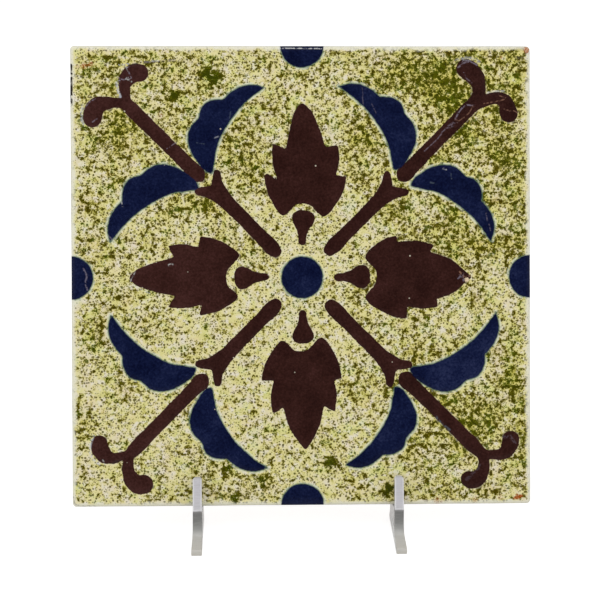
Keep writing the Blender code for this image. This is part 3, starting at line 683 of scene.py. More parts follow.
class TileMesh:
    """Closed skin of the tile: a fine grid on the face, rings down the sides and a coarse grid on
    the back. A point is its inner point plus the arris radius along its outward direction."""

    def __init__(self, settings):
        self.half = settings.side / MM / 2
        self.radius = settings.arris / MM
        flat = self.half - self.radius
        steps = int(flat / CELL)
        self.place, self.turn = with_rounds([-flat, *np.arange(-steps, steps + 1) * CELL, flat], 1)
        low = self.radius - settings.thickness / MM
        self.depth, self.depth_turn = with_rounds([*(-self.radius - np.array(SIDE_ROWS)), low], -1)
        self.count = len(self.place)
        self.cells = self.count - 1
        self.middle = self.cells // 2
        self.levels = len(self.depth)
        self.lay_points(settings.key_depth / MM)

    def skin(self, column, row, level):
        """Points and outward directions of the lattice points column, row and level."""
        level = np.broadcast_to(level, len(row))
        slope = np.tan(np.stack([self.turn[column], self.turn[row], self.depth_turn[level]], 1) * math.pi / 4)
        inner = np.stack([self.place[column], self.place[row], self.depth[level]], axis=1)
        outward = slope / np.linalg.norm(slope, axis=1)[:, None]
        return inner + self.radius * outward, outward

    def lay_points(self, key_depth):
        """Face grid, then the rings down the sides, then the back's own points."""
        row, column = np.divmod(np.arange(self.count**2), self.count)
        parts = [self.skin(column, row, 0)]
        lap = np.arange(self.cells)
        start = np.zeros(self.cells, int)
        sides = [start, lap, start + self.cells, self.cells - lap]
        self.ring_row = np.concatenate(sides)
        self.ring_column = np.concatenate([sides[1], sides[2], sides[3], sides[0]])
        parts += [self.skin(self.ring_column, self.ring_row, level) for level in range(1, self.levels)]
        self.back_columns = self.coarse_columns()
        self.back_rows = self.coarse_rows()
        column, row = (part.ravel() for part in np.meshgrid(self.back_columns, self.back_rows))
        back, outward = self.skin(column, row, self.levels - 1)
        back[:, 2] += self.in_key(column, row) * key_depth
        parts.append((back, outward))
        self.points, self.outward = (np.vstack(part) for part in zip(*parts))
        self.ring_start = self.count**2
        self.back_start = self.ring_start + (self.levels - 1) * len(self.ring_row)

    def step_to_edge(self, distance):
        """The step from each point of the face to the painted edge, against the distance's slope, and
        which points are so near that they take it: each edge between two points then has one on it."""
        across = self.points[:self.count, 0]
        slope = np.gradient(distance.reshape(self.count, self.count), across, across)
        slope = np.stack([slope[1].ravel(), slope[0].ravel()], axis=1)
        steep = np.linalg.norm(slope, axis=1)
        held = np.maximum(steep, LEAST_SLOPE)
        step = -slope * (distance / held**2)[:, None]
        reach = SNAP_SHARE * CELL * np.abs(slope).max(axis=1) / held
        flat = np.abs(self.points[:self.count**2, :2]) < self.half - self.radius
        return step, (np.abs(distance) < reach) & (steep > 2 * LEAST_SLOPE) & flat.all(axis=1)

    def coarse_columns(self):
        """Columns of the back: both edges and the foot of each key's walls, and the ribs."""
        near_key = (KEY_HALF_CELLS + 1, KEY_HALF_CELLS, KEY_HALF_CELLS - 1, 0)
        steps = [sign * step for sign in (-1, 1) for step in near_key] + [KEY_PITCH_CELLS // 2]
        return self.inner_lines([KEY_PITCH_CELLS * key + step for key in KEYS for step in steps])

    def coarse_rows(self):
        """Rows of the back: the ends of the keys and a few between."""
        ends = [sign * (KEY_END_CELLS - step) for sign in (-1, 1) for step in (0, 1)]
        return self.inner_lines([*ends, *range(-BACK_ROW_REACH, BACK_ROW_REACH + 1, BACK_ROW_STEP)])

    def inner_lines(self, steps):
        """Lines at these steps from the middle and those of both rounded edges, the border left out."""
        lines = [self.middle + step for step in steps]
        kept = [line for line in lines if ROUND_ROWS < line < self.cells - ROUND_ROWS]
        rounds = range(1, ROUND_ROWS + 1)
        return np.unique([*kept, *rounds, *(self.cells - step for step in rounds)])

    def in_key(self, column, row):
        """1 in a key, 0 on a rib."""
        aside = column - self.middle
        half_pitch = KEY_PITCH_CELLS // 2
        beside = np.abs((aside + half_pitch) % KEY_PITCH_CELLS - half_pitch) < KEY_HALF_CELLS
        return beside & (np.abs(row - self.middle) < KEY_END_CELLS) & (np.abs(aside) < half_pitch * len(KEYS))

    def ring(self, level):
        """Point numbers of the ring at this level, once round."""
        if level == 0:
            return self.ring_row * self.count + self.ring_column
        return self.ring_start + (level - 1) * len(self.ring_row) + np.arange(len(self.ring_row))

    def face_triangles(self, on_edge):
        """Two triangles to each cell of the face, split along a painted edge where one crosses it."""
        row, column = np.divmod(np.arange(self.cells**2), self.cells)
        a = row * self.count + column
        b = a + 1
        c = b + self.count
        d = a + self.count
        other = (on_edge[b] & on_edge[d] & ~(on_edge[a] & on_edge[c]))[:, None]
        first = np.where(other, np.stack([a, b, d], 1), np.stack([a, b, c], 1))
        second = np.where(other, np.stack([b, c, d], 1), np.stack([a, c, d], 1))
        return np.stack([first, second], axis=1).reshape(-1, 3)

    def side_quads(self):
        """Quads between one ring and the next, all the way down."""
        rings = [self.ring(level) for level in range(self.levels)]
        return np.vstack([
            np.stack([upper, lower, np.roll(lower, -1), np.roll(upper, -1)], axis=1)
            for upper, lower in zip(rings, rings[1:])
        ])

    def back_polygons(self):
        """Quads of the back, and the strip of polygons that joins them to the last ring."""
        wide = len(self.back_columns)
        tall = len(self.back_rows)
        grid = self.back_start + np.arange(wide * tall).reshape(tall, wide)
        quads = np.stack([grid[:-1, :-1], grid[1:, :-1], grid[1:, 1:], grid[:-1, 1:]], axis=2).reshape(-1, 4)
        border = self.ring(self.levels - 1)
        strips = []
        sides = (
            (self.back_columns, grid[0]),
            (self.back_rows, grid[:, -1]),
            (self.cells - self.back_columns[::-1], grid[-1, ::-1]),
            (self.cells - self.back_rows[::-1], grid[::-1, 0]),
        )
        for side, (stops, inner) in enumerate(sides):
            ring = np.roll(border, -side * self.cells)
            strips.append([ring[-1], inner[0], ring[stops[0]], ring[0]])
            for number, (start, end) in enumerate(zip(stops, stops[1:])):
                strips.append([inner[number], inner[number + 1], *ring[start:end + 1][::-1]])
        return quads.tolist() + [np.array(strip).tolist() for strip in strips]


def tile_to_world(points, tile, easel):
    """World place of points given in millimetres from the middle of the face: across is X, up the
    tile leans back from Z, and out of the face leans up from -Y."""
    sine = math.sin(tile.lean)
    cosine = math.cos(tile.lean)
    turn = np.array([[1.0, 0.0, 0.0], [0.0, sine, cosine], [0.0, -cosine, sine]])
    return points * MM @ turn + np.array(face_middle(tile, easel))


def new_piece(name, points, faces, materials, node, slot):
    """An object with this mesh that rides on the body and stands for the CAD node."""
    mesh = bpy.data.meshes.new(name)
    mesh.from_pydata(points.tolist(), [], faces)
    mesh.validate()
    mesh.shade_smooth()
    mesh.set_sharp_from_angle(angle=math.radians(CREASE[slot]))
    for material in materials:
        mesh.materials.append(material)
    piece = bpy.data.objects.new(name, mesh)
    bpy.context.scene.collection.objects.link(piece)
    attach(piece, BODY)
    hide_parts(node)
    return piece


# Shader trees

class Amount:
    """A number in a shader tree. Sums with it add Math nodes to the tree."""

    def __init__(self, tree, socket):
        self.tree = tree
        self.socket = socket

    def math(self, operation, *terms):
        made = self.tree.node("ShaderNodeMath", {"operation": operation}, dict(enumerate(terms)))
        return Amount(self.tree, made.outputs[0])

    def __add__(self, other):
        return self.math("ADD", self, other)

    __radd__ = __add__

    def __sub__(self, other):
        return self.math("SUBTRACT", self, other)

    def __rsub__(self, other):
        return self.math("SUBTRACT", other, self)

    def __mul__(self, other):
        return self.math("MULTIPLY", self, other)

    __rmul__ = __mul__

    def __abs__(self):
        return self.math("ABSOLUTE", self)

    def smallest(self, other):
        return self.math("MINIMUM", self, other)

    def largest(self, other):
        return self.math("MAXIMUM", self, other)

    def eased(self, low, high):
        """0 below low and 1 above high, eased between; low may be the larger one."""
        values = {"Value": self, "From Min": low, "From Max": high}
        made = self.tree.node("ShaderNodeMapRange", {"interpolation_type": "SMOOTHSTEP"}, values)
        return Amount(self.tree, made.outputs[0])


class ShaderTree:
    """The nodes of a material or a world."""

    def __init__(self, owner):
        owner.use_nodes = True
        self.tree = owner.node_tree

    def node(self, kind, settings=None, values=None):
        """A node of this type, its settings made first, then the values or links of its sockets."""
        made = self.tree.nodes.new(kind)
        for key, value in (settings or {}).items():
            setattr(made, key, value)
        for key, value in (values or {}).items():
            self.put(made.inputs[key], value)
        return made

    def put(self, socket, value):
        """Link a socket, or set its own value."""
        if isinstance(value, Amount):
            value = value.socket
        if isinstance(value, bpy.types.NodeSocket):
            self.tree.links.new(value, socket)
        elif socket.type == "RGBA":
            socket.default_value = (*value, 1.0)
        else:
            socket.default_value = value

    def light_path(self, ray):
        """1 for rays of this kind and 0 for others."""
        return Amount(self, self.node("ShaderNodeLightPath").outputs[ray])


class Shading(ShaderTree):
    """A material and the nodes that its finish is made of."""

    def __init__(self, name, origin=(0.0, 0.0, 0.0), turn=(0.0, 0.0, 0.0)):
        self.material = bpy.data.materials.new(name)
        self.origin = origin
        self.turn = turn
        super().__init__(self.material)

    @cached_property
    def place(self):
        """The object's own place in millimetres, from the origin and along the turned axes."""
        source = self.node("ShaderNodeTexCoord").outputs["Object"]
        values = {"Vector": source, "Location": self.origin, "Rotation": self.turn, "Scale": (MM, MM, MM)}
        return self.node("ShaderNodeMapping", {"vector_type": "TEXTURE"}, values).outputs["Vector"]

    def finish(self, **values):
        """Set the shader's own sockets, by their names with _ for a space."""
        for key, value in values.items():
            self.put(self.tree.nodes["Principled BSDF"].inputs[key.replace("_", " ")], value)
        return self.material

    def stored(self, name):
        """A number stored on the mesh."""
        made = self.node("ShaderNodeAttribute", {"attribute_name": name})
        return Amount(self, made.outputs["Fac"])

    def noise(self, scale, detail=2.0, rough=0.5, warp=0.0, place=None):
        """Noise about one half, so fine to the millimetre."""
        values = {"Scale": scale, "Detail": detail, "Roughness": rough, "Distortion": warp}
        values["Vector"] = self.place if place is None else place
        return Amount(self, self.node("ShaderNodeTexNoise", None, values).outputs["Fac"])

    def specks(self, scale, uneven):
        """Distance to the nearest of scattered points, and each point's own chance added to it, so
        that a limit on the sum gives specks of many sizes."""
        made = self.node("ShaderNodeTexVoronoi", None, {"Vector": self.place, "Scale": scale})
        chance = Amount(self, made.outputs["Color"])
        return chance * uneven + Amount(self, made.outputs["Distance"])

    def layered(self, shade, layers, way="MIX"):
        """The colour under further colours, each with its share."""
        for layer, share in layers:
            settings = {"data_type": "RGBA", "blend_type": way}
            shade = self.node("ShaderNodeMix", settings, {"Factor": share, 6: shade, 7: layer}).outputs[2]
        return shade

    def ramp(self, amount, stops):
        """Colour by amount, from places and their colours."""
        made = self.node("ShaderNodeValToRGB", None, {"Fac": amount})
        elements = made.color_ramp.elements
        while len(elements) < len(stops):
            elements.new(1.0)
        for element, (place, shade) in zip(elements, stops):
            element.position = place
            element.color = (*shade, 1.0)
        return made.outputs["Color"]

    def stretched(self, shares):
        """The place with each of its parts multiplied."""
        made = self.node("ShaderNodeVectorMath", {"operation": "MULTIPLY"}, {0: self.place, 1: shares})
        return made.outputs["Vector"]

    def parts(self):
        """The three parts of the place."""
        made = self.node("ShaderNodeSeparateXYZ", None, {0: self.place})
        return [Amount(self, made.outputs[axis]) for axis in range(3)]

    def bump(self, height):
        """Normal of a surface raised by a height in millimetres."""
        made = self.node("ShaderNodeBump", None, {"Strength": 1.0, "Distance": MM, "Height": height})
        return made.outputs["Normal"]


def line_distance(across, up, start, end):
    """Distance from a straight line between two points of the face."""
    step_across = end[0] - start[0]
    step_up = end[1] - start[1]
    along = (across - start[0]) * step_across + (up - start[1]) * step_up
    share = (along * (1.0 / (step_across**2 + step_up**2))).largest(0.0).smallest(1.0)
    aside = across - start[0] - share * step_across
    above = up - start[1] - share * step_up
    squared = aside * aside + above * above
    return squared.math("SQRT", squared)


def ground_colour(shading, tile, crowd):
    """Cream ground that drifts paler and yellower, olive clumps in it, specks of two sizes that
    crowd together, and warmer and greener washes over all."""
    noise = shading.noise
    blobs = shading.stored("green_blobs")
    hue = noise(0.15, 5.0, 0.7)
    clumps = noise(0.52, 6.0, 0.70) + crowd * 0.50 + blobs * 0.16
    greener = hue.eased(0.48, 0.39).largest(blobs).largest(crowd.eased(0.06, 0.18) * 0.7)
    olive = shading.layered(tuple(tile.olive), ((linear(91, 99, 0), greener),))
    dark_olive = shading.layered(tuple(tile.dark_olive), ((linear(58, 63, 0), greener),))
    fine_olive = shading.layered(linear(82, 72, 0), ((linear(76, 82, 0), greener),))
    ground = shading.ramp(noise(0.16, 4.0, 0.62), (
        (0.36, linear(223, 213, 182)),
        (0.50, tuple(tile.cream)),
        (0.64, linear(214, 208, 138)),
    ))
    ground = shading.layered(ground, (
        (linear(228, 221, 202), noise(0.42, 3.0, 0.6).eased(0.49, 0.64) * 0.9),
        (linear(202, 189, 62), crowd.eased(0.0, 0.22) * 0.55),
        (tuple(tile.wash), clumps.eased(0.495, 0.565) * 0.6),
        (olive, clumps.eased(0.560, 0.580)),
        (dark_olive, clumps.eased(0.582, 0.608)),
        (olive, (shading.specks(1.50, 0.40) - crowd * 0.4).eased(0.54, 0.42) * 0.8),
        (fine_olive, (shading.specks(1.05, 0.48) - crowd * 0.7).eased(0.56, 0.46) * 0.9),
        (linear(70, 81, 0), (noise(0.20, 6.0, 0.72) + crowd * 0.25).eased(0.635, 0.66) * 0.85),
    ))
    return shading.layered(ground, (
        ((1.0, 0.955, 0.97), hue.eased(0.52, 0.66)),
        ((0.94, 1.0, 0.86), hue.eased(0.48, 0.36)),
        ((1.0, 0.86, 0.68), noise(0.13, 4.0, 0.65).eased(0.64, 0.72) * 0.6),
    ), "MULTIPLY")


def glazed_colour(shading, tile, ground, fills, edges):
    """The ground with its pale and bluish rims, under brown and blue glaze, each of a little
    uneven depth, the brown a little lighter towards the left and the blue towards the lower right."""
    noise = shading.noise
    across, up, _ = shading.parts()
    brown_edge, blue_edge = edges
    gap = noise(0.25, 4.0, 0.7)
    cloud = 0.14 + noise(1.3, 4.0, 0.75) * 0.42 + noise(0.12, 3.0) * 0.25
    brown = shading.ramp(cloud + across.eased(-15.0, -42.0) * 0.05, (
        (0.40, linear(38, 17, 14)),
        (0.50, tuple(tile.brown)),
        (0.60, linear(69, 40, 37)),
    ))
    blue = shading.ramp(cloud + across.eased(35.0, 58.0) * up.eased(-10.0, -35.0) * 0.06, (
        (0.40, linear(6, 11, 40)),
        (0.50, tuple(tile.blue)),
        (0.60, linear(38, 45, 78)),
    ))
    return shading.layered(ground, (
        (linear(226, 214, 184), brown_edge.eased(0.50, 0.28) * gap.eased(0.46, 0.58) * 0.3),
        (linear(212, 216, 190), blue_edge.eased(1.15, 0.60) * gap.eased(0.42, 0.56) * 0.75),
        (linear(82, 112, 92), blue_edge.eased(0.50, 0.14) * 0.75),
        (brown, fills[0]),
        (blue, fills[1]),
    ))


def mark_and_highlight_layers(shading, tremble, on_face):
    """The worn, scratched and run lines with the painted highlights and shade among them, and the dark
    chafe down the left edge: colours and shares.
    """
    across, up, _ = shading.parts()
    stored = shading.stored
    chance = shading.noise(1.2, 3.0).eased(0.38, 0.56)
    mark = abs(stored("mark_aside")).eased(1.6, 0.2) * stored("mark_beyond").eased(0.5, 0.25)
    broken = shading.noise(0.45, 2.0).eased(0.38, 0.46)
    chafe = line_distance(across, up, *CHAFE) + tremble * 0.8
    mark = mark * chance * on_face * stored("mark_strength") * 0.85
    return (
        (shading.ramp(stored("mark_tone"), tone_stops()), mark),
        (linear(44, 38, 32), chafe.eased(0.80, 0.50) * broken * on_face),
    )


def clay_colour(shading, tile, grain):
    """Grainy fired clay with dirt in it."""
    clay = shading.ramp(grain, (
        (0.32, linear(150, 118, 84)),
        (0.46, tuple(tile.clay)),
        (0.60, linear(212, 188, 154)),
        (0.72, linear(170, 138, 104)),
    ))
    dirt = shading.noise(0.06, 3.0, 0.6).eased(0.48, 0.72)
    return shading.layered(clay, ((linear(122, 100, 78), dirt * 0.6),))


def tile_material(tile, easel):
    """Speckled ground and two glazes with trembling edges, from stored distances; over them worn
    edges, pinholes, marks with painted highlights and shade among them, a painted shade line along
    the outer edge that also greys the sides as dirt, chips and rust; and bare clay from where the
    glaze ends in drips."""
    shading = Shading("speckled_tile_glaze", face_middle(tile, easel), (math.pi / 2 - tile.lean, 0.0, 0.0))
    noise = shading.noise
    across, up, out = shading.parts()
    tremble = (noise(0.9) - 0.5) * 0.42 + (noise(0.2, 1.0) - 0.5) * 0.5
    edges = [shading.stored(name) + tremble for name in ("brown_edge", "blue_edge")]
    on_face = (out + tremble).eased(-1.6, -1.2)
    fills = edges[0].eased(0.10, -0.10) * on_face, edges[1].eased(0.20, -0.16) * on_face
    filled = fills[0].largest(fills[1])
    bare_ground = 1.0 - filled

    inward = (tile.side / MM / 2) - abs(across).largest(abs(up))
    worn = (inward + (noise(0.25, 3.0) - 0.5) * 2.6).eased(1.9, 0.5)
    crowd = 0.05 + (noise(0.07, 3.0, 0.55) - 0.5) * 0.50 + shading.stored("speckling") * 0.075
    crowd = crowd - worn * 0.10 - inward.eased(4.0, 1.0) * 0.05
    coat = glazed_colour(shading, tile, ground_colour(shading, tile, crowd), fills, edges)
    chip = (shading.stored("chipped") + (noise(1.8, 3.0) - 0.5) * 0.5).eased(0.45, 0.6)
    rusty = shading.stored("rust") * (1.0 + (noise(2.4, 4.0, 0.65) - 0.5) * 4.0)
    drips = (noise(0.14) - 0.5) * 6.0 + (noise(0.8) - 0.5) * 1.2
    bare = (out + drips).eased(-4.2, -4.6)
    grain = noise(1.6, 5.0, 0.65)
    coat = shading.layered(coat, (
        (linear(205, 196, 176), shading.specks(0.16, 0.0).eased(0.055, 0.03) * filled * 0.8),
        (linear(230, 228, 212), worn * bare_ground * 0.8),
        # painted shade: a grey line along the outer edge, where the side turns away from the light, that also
        # greys the sides as dirt
        (linear(140, 138, 130), inward.eased(0.35, 0.0) * bare_ground * 0.4),
        *mark_and_highlight_layers(shading, tremble, on_face),
        (linear(222, 200, 168), chip),
        (tuple(tile.rust), rusty.eased(0.25, 0.90)),
        (clay_colour(shading, tile, grain), bare),
    ))

    gloss = 0.24 - filled * 0.05 + noise(0.09, 3.0) * 0.12 + worn * 0.10 + chip * 0.5
    ripple = noise(0.35) * 0.10 + noise(1.3) * 0.02
    height = ripple * (1.0 - bare) + grain * 0.16 * bare - chip * 0.2
    return shading.finish(
        Base_Color=coat, Roughness=gloss + bare * 0.5, Normal=shading.bump(height), IOR=GLAZE_IOR,
    )


def polished_material(easel):
    """Clear polished acrylic with faint hairline scratches."""
    shading = Shading("clear_polished_acrylic")
    hair = shading.noise(0.4, 4.0, 0.7, 1.5)
    return shading.finish(
        Base_Color=tuple(easel.clear), Roughness=0.02 + hair.eased(0.58, 0.7) * 0.10, IOR=ACRYLIC_IOR,
        Transmission_Weight=1.0, Normal=shading.bump(shading.noise(0.12, 1.0) * 0.05),
    )


def sawn_material(easel):
    """Sawn and flame-dulled acrylic edge: frosted, with painted shade by height, dark below the nose,
    a painted highlight line at the nose and painted highlights along both arrises above the nose,
    with faint saw lines across it."""
    shading = Shading("frosted_acrylic_edge")
    across, _, height = shading.parts()
    lines = shading.noise(1.0, 3.0, 0.6, place=shading.stretched((0.25, 2.4, 2.4)))
    cloud = shading.noise(0.5, 3.0, 0.6)
    aside = abs(abs(across - easel.slip / MM) - easel.spacing / MM / 2)
    painted_arris_highlight = aside.eased(easel.plate / MM * 0.30, easel.plate / MM * 0.46)
    # painted shade by height, dark below the nose, with a painted highlight line at the nose
    tone = shading.ramp((height + (cloud - 0.5) * 0.5) * (1.0 / SAWN_TOP), SAWN_TONES_AND_PAINTED_LIGHT)
    tone = shading.layered(tone, (
        (linear(176, 174, 172), lines.eased(0.46, 0.7) * 0.35),
        # painted highlight along both arrises above the nose
        (tuple(easel.sawn), painted_arris_highlight * height.eased(10.8, 11.2) * 0.9),
    ))
    return shading.finish(
        Base_Color=tone, Roughness=0.38 + lines * 0.25, IOR=ACRYLIC_IOR, Transmission_Weight=0.2,
        Normal=shading.bump(lines * 0.05),
    )


# The easel

FOOT = {
    "spine_rise": 0.100, "spine_depth": 0.005, "spine_top_radius": 0.0025,
    "lip_clearance": 0.0008, "lip_depth": 0.0037, "lip_rise": 0.010,
    "lip_inner_radius": 0.0008, "lip_outer_radius": 0.0016,
    "nose_drop": 0.0002, "nose_radius": 0.0003,
    "toe_reach": 0.011, "toe_height": 0.0020, "toe_radius": 0.0008,
    "crook_height": 0.0034, "crook_radius": 0.0060,
    "heel_reach": 0.0157, "heel_radius": 0.0012, "instep_drop": 0.0035, "instep_radius": 0.0030,
    "leg_width": 0.009, "rear_toe_height": 0.0016, "arch_radius": 0.0045,
}
SMALL_GAP = 0.0003
TOE_FLARE = 0.00024
FILLET_STEPS = 9
LONGEST_REACH = 0.45
ARRIS_STEPS = 5
LIP_ROUND = 0.0008
LIP_ROUND_REACH = 1.25
ROD_SIDES = 48
ROD_GAP = 0.00003
UPPER_ROD_RISE = 0.088
LOWER_ROD_HEIGHT = 0.024


class Seat:
    """Where the tile's lower front edge stands, steps back through the tile and up along it, and the
    line of the rear leg."""

    def __init__(self, tile, easel):
        self.upward = np.array([math.sin(tile.lean), math.cos(tile.lean)])
        self.backward = np.array([math.cos(tile.lean), -math.sin(tile.lean)])
        self.front = -easel.depth / 2
        self.rear = easel.depth / 2
        self.lip_front = FOOT["lip_clearance"] + FOOT["lip_depth"]
        self.spine_face = tile.thickness + SMALL_GAP
        self.spine_back = self.spine_face + FOOT["spine_depth"]
        drop = FOOT["nose_drop"] + SMALL_GAP
        reach = self.lip_front * self.backward[0] + drop * self.upward[0]
        self.edge = np.array([self.front + FOOT["toe_reach"] + reach, easel.seat_height])
        self.leg_top = self.at(self.spine_back, FOOT["spine_rise"])
        run = np.array([self.rear, FOOT["rear_toe_height"]]) - self.leg_top
        self.leg_down = run / np.linalg.norm(run)
        self.leg_inward = np.array([self.leg_down[1], -self.leg_down[0]])

    def at(self, back, up):
        """World y and z of a point so far back through the tile and so far up along it."""
        return self.edge + back * self.backward + up * self.upward

    def leg_meets(self, place, heading):
        """Where the rear leg's inner edge meets the line through this place."""
        start = self.leg_top + self.leg_inward * FOOT["leg_width"]
        share = np.linalg.solve(np.column_stack([heading, -self.leg_down]), start - place)[0]
        return place + share * np.array(heading)


def face_middle(tile, easel):
    """World place of the middle of the tile's face."""
    return (0.0, *Seat(tile, easel).at(0.0, tile.side / 2))


def rounded(corners):
    """Closed outline with straight sides. A corner is y, z and a radius; the radius is held to
    what its two sides can take, and a corner without one stays sharp."""
    places = np.array([corner[:2] for corner in corners])
    outline = []
    around = zip(places, np.roll(places, 1, axis=0), np.roll(places, -1, axis=0), corners)
    for corner, before, after, (_, _, radius) in around:
        if radius <= 0.0:
            outline.append(corner[None])
            continue
        longest = LONGEST_REACH * min(np.linalg.norm(before - corner), np.linalg.norm(after - corner))
        to_before = (before - corner) / np.linalg.norm(before - corner)
        to_after = (after - corner) / np.linalg.norm(after - corner)
        half_angle = math.acos(float(to_before @ to_after)) / 2
        reach = min(radius / math.tan(half_angle), longest)
        inward = (to_before + to_after) / np.linalg.norm(to_before + to_after)
        middle = corner + inward * reach / math.cos(half_angle)
        start = corner + to_before * reach - middle
        end = corner + to_after * reach - middle
        sweep = math.atan2(start[0] * end[1] - start[1] * end[0], float(start @ end))
        turn = np.linspace(0.0, sweep, FILLET_STEPS + 1)[:, None]
        outline.append(middle + np.cos(turn) * start + np.sin(turn) * np.array([-start[1], start[0]]))
    return np.vstack(outline)


def side_plate_outline(seat):
    """Profile of a side plate, from the toe along the sole and round: y and z."""
    nose = seat.at(-seat.lip_front, -SMALL_GAP - FOOT["nose_drop"])
    return rounded([
        (seat.front, 0.0, FOOT["toe_radius"]),
        (seat.edge[0] + FOOT["heel_reach"], 0.0, FOOT["heel_radius"]),
        (*seat.at(seat.spine_back, -FOOT["instep_drop"]), FOOT["instep_radius"]),
        (*seat.leg_meets(seat.at(seat.spine_back, 0.0), seat.upward), FOOT["arch_radius"]),
        (*seat.leg_meets((0.0, 0.0), (1.0, 0.0)), 0.0),
        (seat.rear, 0.0, FOOT["nose_radius"]),
        (seat.rear, FOOT["rear_toe_height"], FOOT["toe_radius"]),
        (*seat.at(seat.spine_back, FOOT["spine_rise"]), FOOT["spine_top_radius"]),
        (*seat.at(seat.spine_face, FOOT["spine_rise"]), FOOT["spine_top_radius"]),
        (*seat.at(seat.spine_face, -SMALL_GAP), 0.0),
        (*seat.at(-FOOT["lip_clearance"], -SMALL_GAP), 0.0),
        (*seat.at(-FOOT["lip_clearance"], FOOT["lip_rise"]), FOOT["lip_inner_radius"]),
        (*seat.at(-seat.lip_front, FOOT["lip_rise"]), FOOT["lip_outer_radius"]),
        (*nose, FOOT["nose_radius"]),
        (nose[0], FOOT["crook_height"], FOOT["crook_radius"]),
        (seat.front, FOOT["toe_height"], FOOT["toe_radius"]),
    ])


def inset(outline, amount):
    """The outline moved inwards by the amount: each corner goes along the sum of its two sides'
    normals, over one plus their product."""
    step = np.roll(outline, -1, axis=0) - outline
    step /= np.linalg.norm(step, axis=1)[:, None]
    normal = np.stack([-step[:, 1], step[:, 0]], axis=1)
    before = np.roll(normal, 1, axis=0)
    spread = 1.0 + (normal * before).sum(axis=1)
    return outline + amount * (normal + before) / spread[:, None]


def tube(rings):
    """Points and faces of rings that follow one another, with a face over each end."""
    count = len(rings[0])
    number = np.arange(count)
    after = np.roll(number, -1)
    quads = np.stack([number, after, after + count, number + count], axis=1)
    sides = [quads + level * count for level in range(len(rings) - 1)]
    ends = [number[::-1].tolist(), ((len(rings) - 1) * count + number).tolist()]
    return np.vstack(rings), np.vstack(sides).tolist() + ends


def plate_skin(outline, middle, half, arris):
    """Points and faces of a plate: the outline carried across the thickness, its edges turned in
    along quarter rounds of radius arris. Half the thickness and the radius go by point."""
    turns = np.linspace(0.0, math.pi / 2, ARRIS_STEPS)
    rings = []
    for side, turn in [(-1, turn) for turn in turns[::-1]] + [(1, turn) for turn in turns]:
        ring = inset(outline, arris[:, None] * (1.0 - math.cos(turn)))
        across = middle + side * (half - arris * (1.0 - math.sin(turn)))
        rings.append(np.column_stack([across, ring]))
    return tube(rings)


def rod_skin(middle, half, radius, place, arris):
    """Points and faces of a round rod: a circle carried from end to end, drawn in at both ends."""
    turn = np.arange(ROD_SIDES) * (2 * math.pi / ROD_SIDES)
    rings = []
    narrow = radius - arris
    for across, wide in ((-half, narrow), (arris - half, radius), (half - arris, radius), (half, narrow)):
        ring = np.array(place) + wide * np.column_stack([np.cos(turn), np.sin(turn)])
        rings.append(np.column_stack([np.full(ROD_SIDES, middle + across), ring]))
    return tube(rings)


# Operators

def sizes(context):
    """The tile's settings and the easel's."""
    return context.scene.tile_settings, context.scene.easel_settings


class MakeTile(bpy.types.Operator):
    """Build the tile's glazed skin with its relief, keys and finish"""

    bl_idname = "object.make_glazed_tile"
    bl_label = "Glazed tile"

    def execute(self, context):
        tile, easel = sizes(context)
        made = TileMesh(tile)
        points = made.points
        numbers, relief, on_edge = painted(made, tile)
        places = points[:, :2]
        for name, patches in PATCHES.items():
            numbers[name] = soft_patches(places, patches)
        numbers.update(nearest_mark(places))
        height = relief - CHIP_DEPTH * np.clip(numbers["chipped"] - CHIP_RIM, 0.0, 1.0)
        for wave in FACE_WAVES:
            height += waves(places, *wave)
        points = points + made.outward * height[:, None]
        triangles = made.face_triangles(on_edge).tolist()
        faces = triangles + made.side_quads().tolist() + made.back_polygons()
        world = tile_to_world(points, tile, easel)
        piece = new_piece("tile_skin", world, faces, [tile_material(tile, easel)], "tile", "glaze")
        for name, values in numbers.items():
            attribute = piece.data.attributes.new(name, "FLOAT", "POINT")
            attribute.data.foreach_set("value", values.astype(np.float32))
        lay_bake_map(piece.data, made, points, len(triangles) * 3)
        return {"FINISHED"}


def painted(made, tile):
    """Distances to the brown and blue edges, the relief of the thick glazes in millimetres, and
    which points lie on an edge. The face's points next to an edge are moved on to it."""
    scale = made.half * 2 / DRAWN_SIDE
    fine = made.points[:made.back_start]
    face = made.count**2
    moved = fine[:face, :2].copy()
    on_edge = np.zeros(face, bool)
    relief = np.zeros(len(made.points))
    numbers = {}
    for name, shapes in (("brown_edge", brown_outlines()), ("blue_edge", blue_outlines())):
        distance = painted_edge(fine[:, :2], shapes, scale)
        step, snapped = made.step_to_edge(distance[:face])
        moved[snapped] += step[snapped]
        distance[:face][snapped] = 0.0
        on_edge |= snapped
        run_down = tile.wrap / MM + waves(fine, *RUN_WAVES)
        numbers[name] = np.full(len(relief), FAR)
        numbers[name][:len(fine)] = np.maximum(distance, -fine[:, 2] - run_down)
        share = np.clip(-numbers[name] / (tile.shoulder / MM), 0.0, 1.0)
        relief = np.maximum(relief, share * (2.0 - share) * tile.relief / MM)
    made.points[:face, :2] = moved
    inward = made.half - np.abs(made.points[:, :2]).max(axis=1)
    return numbers, relief * np.clip((inward - RELIEF_END) / RELIEF_FADE, 0.0, 1.0), on_edge


